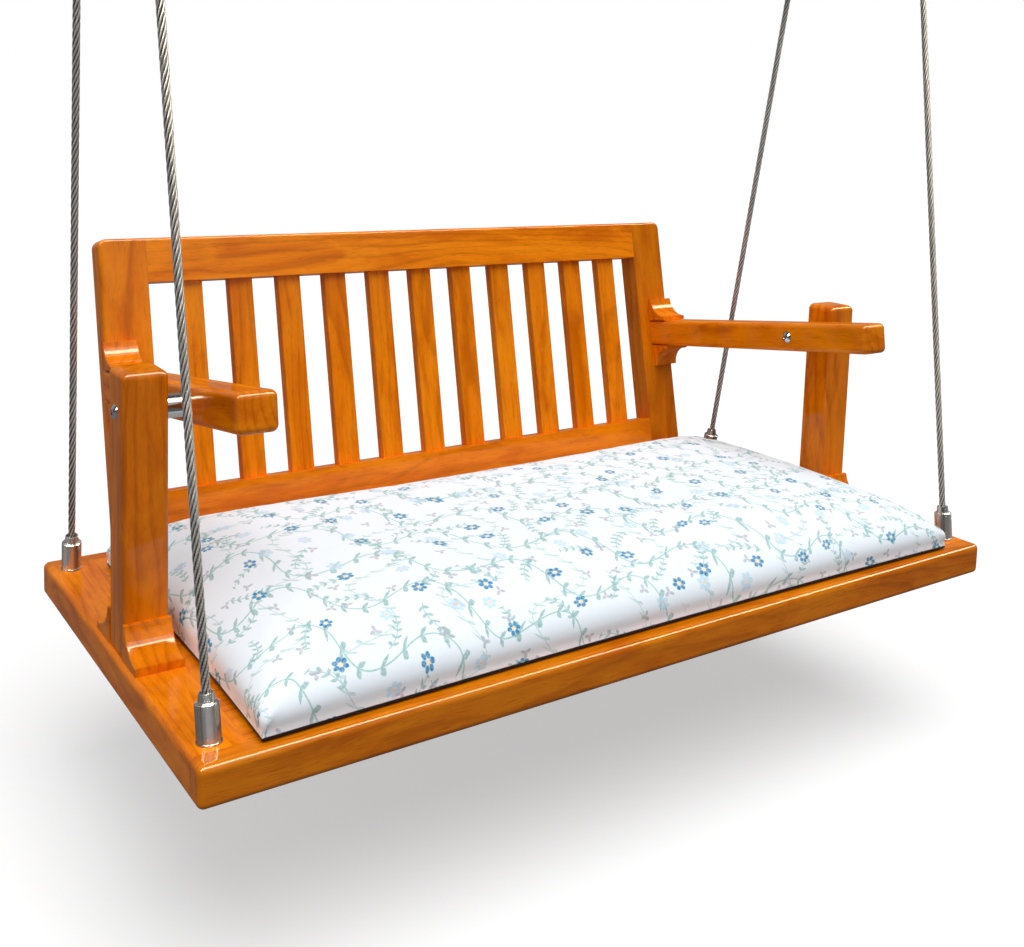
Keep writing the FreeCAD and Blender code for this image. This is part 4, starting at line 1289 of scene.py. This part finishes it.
@dataclass
class SeatCushion:
    """A flat cushion: a crowned top whose sides pull in between pointed corners."""

    half_width: float = 0.5485
    front: float = -0.2995
    back: float = 0.2495
    deck: float = -0.98
    rest: float = 0.0004
    seam: float = 0.0058
    crown: float = 0.0790
    draw_in: float = 0.007
    draw_reach: float = 0.8
    corner_power: float = 1.9
    corner_round: float = 0.012
    seam_slope: float = 0.12
    bulge_from: float = 0.03
    tuck: float = 0.007
    # How far the under sheet's map is moved along X, so that its cloth takes the painted shadow
    # colour
    under_map: float = 3.0
    columns: int = 150
    rows: int = 78
    weld: float = 0.00005
    at_edge: float = 1e-6
    # The cloth as it is blown up
    held_share: float = 1.1
    slack: float = 0.006
    pressure: float = 4.0
    mass: float = 0.25
    stiffness: float = 18.0
    shear: float = 6.0
    bending: float = 0.6
    quality: int = 5
    steps: int = 18
    travel: float = 0.006
    # How far in each point of the edge's outline lies, and its share of the crown's height
    profile: tuple[Pair, ...] = (
        (0.0062, 0.0), (0.0034, 0.045), (0.0012, 0.11), (0.0002, 0.19), (0.0006, 0.28),
        (0.0032, 0.38), (0.0086, 0.49), (0.0180, 0.60), (0.0320, 0.705), (0.0520, 0.80),
        (0.0780, 0.885), (0.1080, 0.95), (0.1380, 0.985), (0.1700, 1.0))

    def profile_at(self, cloth: float) -> Pair:
        """Finds a point of the edge's outline.

        Args:
            cloth: The distance from the seam, along the cloth.

        Returns:
            How far in it lies, and its height over the seam.
        """
        gone = 0.0
        for (near, low), (far, high) in zip(self.profile, self.profile[1:]):
            step = math.hypot(far - near, (high - low) * self.crown)
            if gone + step >= cloth:
                share = (cloth - gone) / step
                return near + (far - near) * share, (low + (high - low) * share) * self.crown
            gone += step
        return self.profile[-1][0] + cloth - gone, self.crown

    def seam_at(self, cloth: float) -> float:
        """Finds how far in a point of the seam lies, from its distance to the corner."""
        return max(self.profile_at(cloth)[0], self.profile[0][0] + self.seam_slope * cloth)

    def cloth_to_middle(self, half: float) -> float:
        """Finds the length of cloth from the seam to the middle of the cushion."""
        gone = sum(math.hypot(far - near, (high - low) * self.crown)
                   for (near, low), (far, high) in zip(self.profile, self.profile[1:]))
        return gone + half - self.profile[-1][0]

    def bulge(self, cloth: float) -> float:
        """Finds how much the sides stand out over the seam, from nothing at a corner."""
        share = min(cloth / self.bulge_from, 1.0)
        return share * share * (3 - 2 * share)

    def under_at(self, inset: float) -> float:
        """Finds the height of the under sheet, which tucks down to the deck."""
        share = 1 - min(max(inset - self.profile[0][0], 0.0) / self.tuck, 1.0)
        return self.seam - (self.seam - self.rest) * math.sqrt(1 - share * share)

    def top_at(self, cloth_x: float, cloth_y: float) -> float:
        """Finds the height of the top sheet.

        Args:
            cloth_x: The distance along the cloth from the seam at the end.
            cloth_y: The same from the seam at the side.

        Returns:
            The height over the deck.
        """
        near = 0.0
        if min(cloth_x, cloth_y) > self.at_edge:
            near = (cloth_x ** -self.corner_power
                    + cloth_y ** -self.corner_power) ** (-1 / self.corner_power)
        return self.seam + self.profile_at(near)[1]

    def rounded(self, from_end: float, from_side: float) -> Pair:
        """Rounds a corner off in plan.

        Args:
            from_end: How far a point lies from the cushion's end.
            from_side: How far it lies from its side.

        Returns:
            The two distances of the moved point.
        """
        out_x = max(1 - from_end / self.corner_round, 0.0)
        out_y = max(1 - from_side / self.corner_round, 0.0)
        if not (out_x and out_y):
            return from_end, from_side
        return (self.corner_round * (1 - out_x * math.sqrt(1 - out_y * out_y / 2)),
                self.corner_round * (1 - out_y * math.sqrt(1 - out_x * out_x / 2)))

    def sheet(self, shape: bmesh.types.BMesh, top: bool) -> None:
        """Adds the top or the under sheet, with its place on the cloth as its map.

        Args:
            shape: The mesh that the sheet goes into.
            top: Whether it is the top sheet.
        """
        print_map = shape.loops.layers.uv.verify()
        depth, middle = (self.back - self.front) / 2, (self.front + self.back) / 2
        wide, deep = self.cloth_to_middle(self.half_width), self.cloth_to_middle(depth)
        made = bmesh.ops.create_grid(shape, x_segments=self.columns, y_segments=self.rows,
                                     size=1.0)["verts"]
        faces = list({face for vertex in made for face in vertex.link_faces})
        for loop in (loop for face in faces for loop in face.loops):
            spot = loop.vert.co
            loop[print_map].uv = (spot.x * wide + (0.0 if top else self.under_map),
                                  spot.y * deep)
        for vertex in made:
            spot = vertex.co.copy()
            cloth_x, cloth_y = wide * (1 - abs(spot.x)), deep * (1 - abs(spot.y))
            inset_x, inset_y = self.seam_at(cloth_x), self.seam_at(cloth_y)
            height = (self.top_at(cloth_x, cloth_y) if top
                      else self.under_at(min(inset_x, inset_y)))
            if top:
                inset_x += (self.profile_at(cloth_x)[0] - inset_x) * self.bulge(cloth_y)
                inset_y += (self.profile_at(cloth_y)[0] - inset_y) * self.bulge(cloth_x)
            side = self.draw_in * (1 - (1 - inset_y / depth) ** 2)
            end = self.draw_in * (1 - (1 - inset_x / self.half_width) ** 2)
            fade_x, fade_y = (max(1 - inset / (self.draw_reach * depth), 0.0)
                              for inset in (inset_x, inset_y))
            from_end, from_side = self.rounded(min(inset_x + side * fade_x, self.half_width),
                                               min(inset_y + end * fade_y, depth))
            vertex.co = (math.copysign(self.half_width - from_end, spot.x),
                         middle + math.copysign(depth - from_side, spot.y), self.deck + height)
        if not top:
            bmesh.ops.reverse_faces(shape, faces=faces)

    def relax(self, cushion: bpy.types.Object) -> None:
        """Blows the cover up a little as cloth, with its under sheet held to the deck.

        Args:
            cushion: The cushion, whose mesh takes the result.
        """
        mesh, scene = cushion.data, bpy.context.scene
        held = cushion.vertex_groups.new(name="held")
        limit = self.deck + self.seam * self.held_share
        for vertex in mesh.vertices:
            held.add([vertex.index], 1.0 if vertex.co.z < limit else 0.0, "REPLACE")
        cloth = cushion.modifiers.new("cloth", "CLOTH")
        for name, value in {
                "quality": self.quality, "mass": self.mass,
                "tension_stiffness": self.stiffness, "compression_stiffness": self.stiffness,
                "shear_stiffness": self.shear, "bending_stiffness": self.bending,
                "use_pressure": True, "uniform_pressure_force": self.pressure,
                "shrink_min": -self.slack, "vertex_group_mass": "held"}.items():
            setattr(cloth.settings, name, value)
        cloth.settings.effector_weights.gravity = 0.0
        cloth.collision_settings.use_collision = False
        cloth.point_cache.frame_start = 1
        cloth.point_cache.frame_end = self.steps
        for step in range(1, self.steps + 1):
            scene.frame_set(step)
        spots = [vertex.co.copy() for vertex in evaluated(cushion).data.vertices]
        cushion.modifiers.remove(cloth)
        scene.frame_set(1)
        for vertex, spot in zip(mesh.vertices, spots):
            change = spot - vertex.co
            if change.length > 0:
                vertex.co += change * (self.travel * math.tanh(change.length / self.travel)
                                       / change.length)
        cushion.vertex_groups.clear()

    def build(self, material: bpy.types.Material) -> bpy.types.Object:
        """Models the cushion and sets it in the place of its CAD solid.

        Args:
            material: The cover's material.

        Returns:
            The finished cushion.
        """
        shape = bmesh.new()
        shape.loops.layers.uv.new("print")
        self.sheet(shape, top=True)
        self.sheet(shape, top=False)
        bmesh.ops.remove_doubles(shape, verts=shape.verts, dist=self.weld)
        smoothed(shape)
        cushion = finished("cushion_cover", shape, material)
        self.relax(cushion)
        finer = cushion.modifiers.new("finer", "SUBSURF")
        finer.levels = finer.render_levels = 1
        finer.boundary_smooth = "PRESERVE_CORNERS"
        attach(cushion, "seat")
        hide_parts("seat_cushion")
        LOG.info("%s has %d faces", cushion.name, len(cushion.data.polygons))
        return cushion


@dataclass
class Studio:
    """Pale floor, one wide soft lamp and a white surround with screens for the gloss."""

    floor_height: float = -1.265
    floor_reach: float = 30.0
    floor_shade: float = 0.52
    floor_glow: float = 0.48
    floor_bounce: float = 0.10
    floor_gloss: float = 0.10
    surround: float = 0.34
    gloss_level: float = 0.10
    wall_level: float = 0.30
    wall_range: Pair = (0.3, 0.7)
    box_level: float = 0.8
    box_way: Triple = (0.2, -0.75, 0.63)
    box_range: Pair = (0.86, 0.95)
    strip_level: float = 36.0
    strip_tint: Colour = (1.0, 0.87, 0.60)
    strip_way: Triple = (0.0, 0.93, 0.36)
    strip_range: Pair = (0.10, 0.14)
    strip_rise: Pair = (0.45, 0.6)
    lamp_from: Triple = (0.0, -0.40, 1.0)
    lamp_width: float = 52.0
    lamp_level: float = 0.885

    def floor(self) -> None:
        """Lays the floor, which keeps the shadow and shows white round it."""
        material = bpy.data.materials.new("pale floor")
        material.use_nodes = True
        material.node_tree.nodes.clear()
        wiring = Wiring(material.node_tree)
        camera, mirrored = wiring.rays()
        seen = wiring.sum("MAXIMUM", camera, mirrored * self.floor_gloss)
        shade = wiring.spread(seen, 0.0, 1.0, self.floor_bounce, self.floor_shade)
        both = wiring.add("ShaderNodeAddShader", {})
        for shader, target in zip((
                wiring.add("ShaderNodeBsdfDiffuse", {"Color": shade}),
                wiring.add("ShaderNodeEmission", {"Strength": seen * self.floor_glow})),
                both.inputs):
            wiring.feed(wiring.out(shader), target)
        wiring.add("ShaderNodeOutputMaterial", {"Surface": wiring.out(both)})
        shape = bmesh.new()
        bmesh.ops.create_grid(shape, x_segments=2, y_segments=2, size=self.floor_reach)
        bmesh.ops.translate(shape, verts=shape.verts, vec=(0.0, 0.0, self.floor_height))
        floor = finished("floor", shape, material)

    def sky(self) -> None:
        """Makes the world: soft grey light, white to the camera, a studio's screens to gloss."""
        world = bpy.data.worlds.new("studio")
        bpy.context.scene.world = world
        world.use_nodes = True
        world.node_tree.nodes.clear()
        wiring = Wiring(world.node_tree)
        camera, mirrored = wiring.rays()
        way = wiring.out(wiring.add("ShaderNodeTexCoord", {}), "Generated")
        across, away, up = wiring.split(way)
        front, band = (wiring.vector("DOT_PRODUCT", way, tuple(Vector(toward).normalized()))
                       for toward in (self.box_way, self.strip_way))
        strip = wiring.fall(abs(band), *self.strip_range) * wiring.spread(up, *self.strip_rise)
        gloss = (wiring.spread(away, *self.wall_range, self.gloss_level,
                               self.gloss_level + self.wall_level)
                 + wiring.spread(front, *self.box_range, 0.0, self.box_level, smooth=True)
                 + strip * self.strip_level)
        soft = (1.0 - across) * self.surround
        strength = (1.0 - mirrored) * soft + mirrored * gloss
        background = wiring.add("ShaderNodeBackground", {
            "Color": wiring.blend(strip * mirrored, WHITE, self.strip_tint),
            "Strength": wiring.sum("MAXIMUM", strength, camera)})
        wiring.add("ShaderNodeOutputWorld", {"Surface": wiring.out(background)})

    def lamp(self) -> None:
        """Hangs the lamp far off, wide enough for soft shadows."""
        light = bpy.data.lights.new("wide soft lamp", "SUN")
        light.angle = math.radians(self.lamp_width)
        light.energy = self.lamp_level * math.pi
        lamp = placed("wide soft lamp", light)
        lamp.rotation_euler = Vector(self.lamp_from).to_track_quat("Z", "Y").to_euler()

    def build(self) -> None:
        """Sets up floor, surround and lamp."""
        self.floor()
        self.sky()
        self.lamp()


@dataclass
class PhotoCamera:
    """The camera at the photograph's place and angle, with its turns in radians."""

    spot: Triple = (-0.98286, -1.34018, -0.35720)
    yaw: float = -0.6027
    pitch: float = -0.1124
    roll: float = 0.0326
    focal_pixels: float = 1194.0
    image: tuple[int, int] = (1024, 947)
    axis_pixel: Pair = (512.0, 251.03)
    sensor: float = 36.0
    nearest: float = 0.01

    def build(self) -> None:
        """Makes it the scene's camera."""
        level = math.cos(self.pitch)
        ahead = Vector((-math.sin(self.yaw) * level, math.cos(self.yaw) * level,
                        math.sin(self.pitch)))
        right = Vector((math.cos(self.yaw), math.sin(self.yaw), 0.0))
        up = right.cross(ahead)
        turned_right = right * math.cos(self.roll) + up * math.sin(self.roll)
        turned_up = up * math.cos(self.roll) - right * math.sin(self.roll)
        width, height = self.image
        data = bpy.data.cameras.new("photograph")
        data.sensor_fit = "HORIZONTAL"
        data.sensor_width = self.sensor
        data.lens = self.focal_pixels / width * self.sensor
        data.shift_x = (width / 2 - self.axis_pixel[0]) / width
        data.shift_y = (self.axis_pixel[1] - height / 2) / width
        data.clip_start = self.nearest
        camera = placed("photograph", data)
        turn = Matrix((turned_right, turned_up, -ahead)).transposed().to_4x4()
        camera.matrix_world = Matrix.Translation(self.spot) @ turn
        bpy.context.scene.camera = camera


def main() -> None:
    """Sets up camera and studio, then builds and dresses the swing."""
    logging.basicConfig(level=logging.INFO)
    bpy.context.scene.view_settings.view_transform = "Standard"
    PhotoCamera().build()
    Studio().build()
    wire = RopeFinish().material()
    for end in ENDS:
        for side in SIDES:
            WireRope(side, end).build(wire)
    for assembly in (Deck(), Posts(), Backrest(), Hardware()):
        assembly.dress()
    SeatCushion().build(ClothFinish().material())


if __name__ == "__main__":
    main()
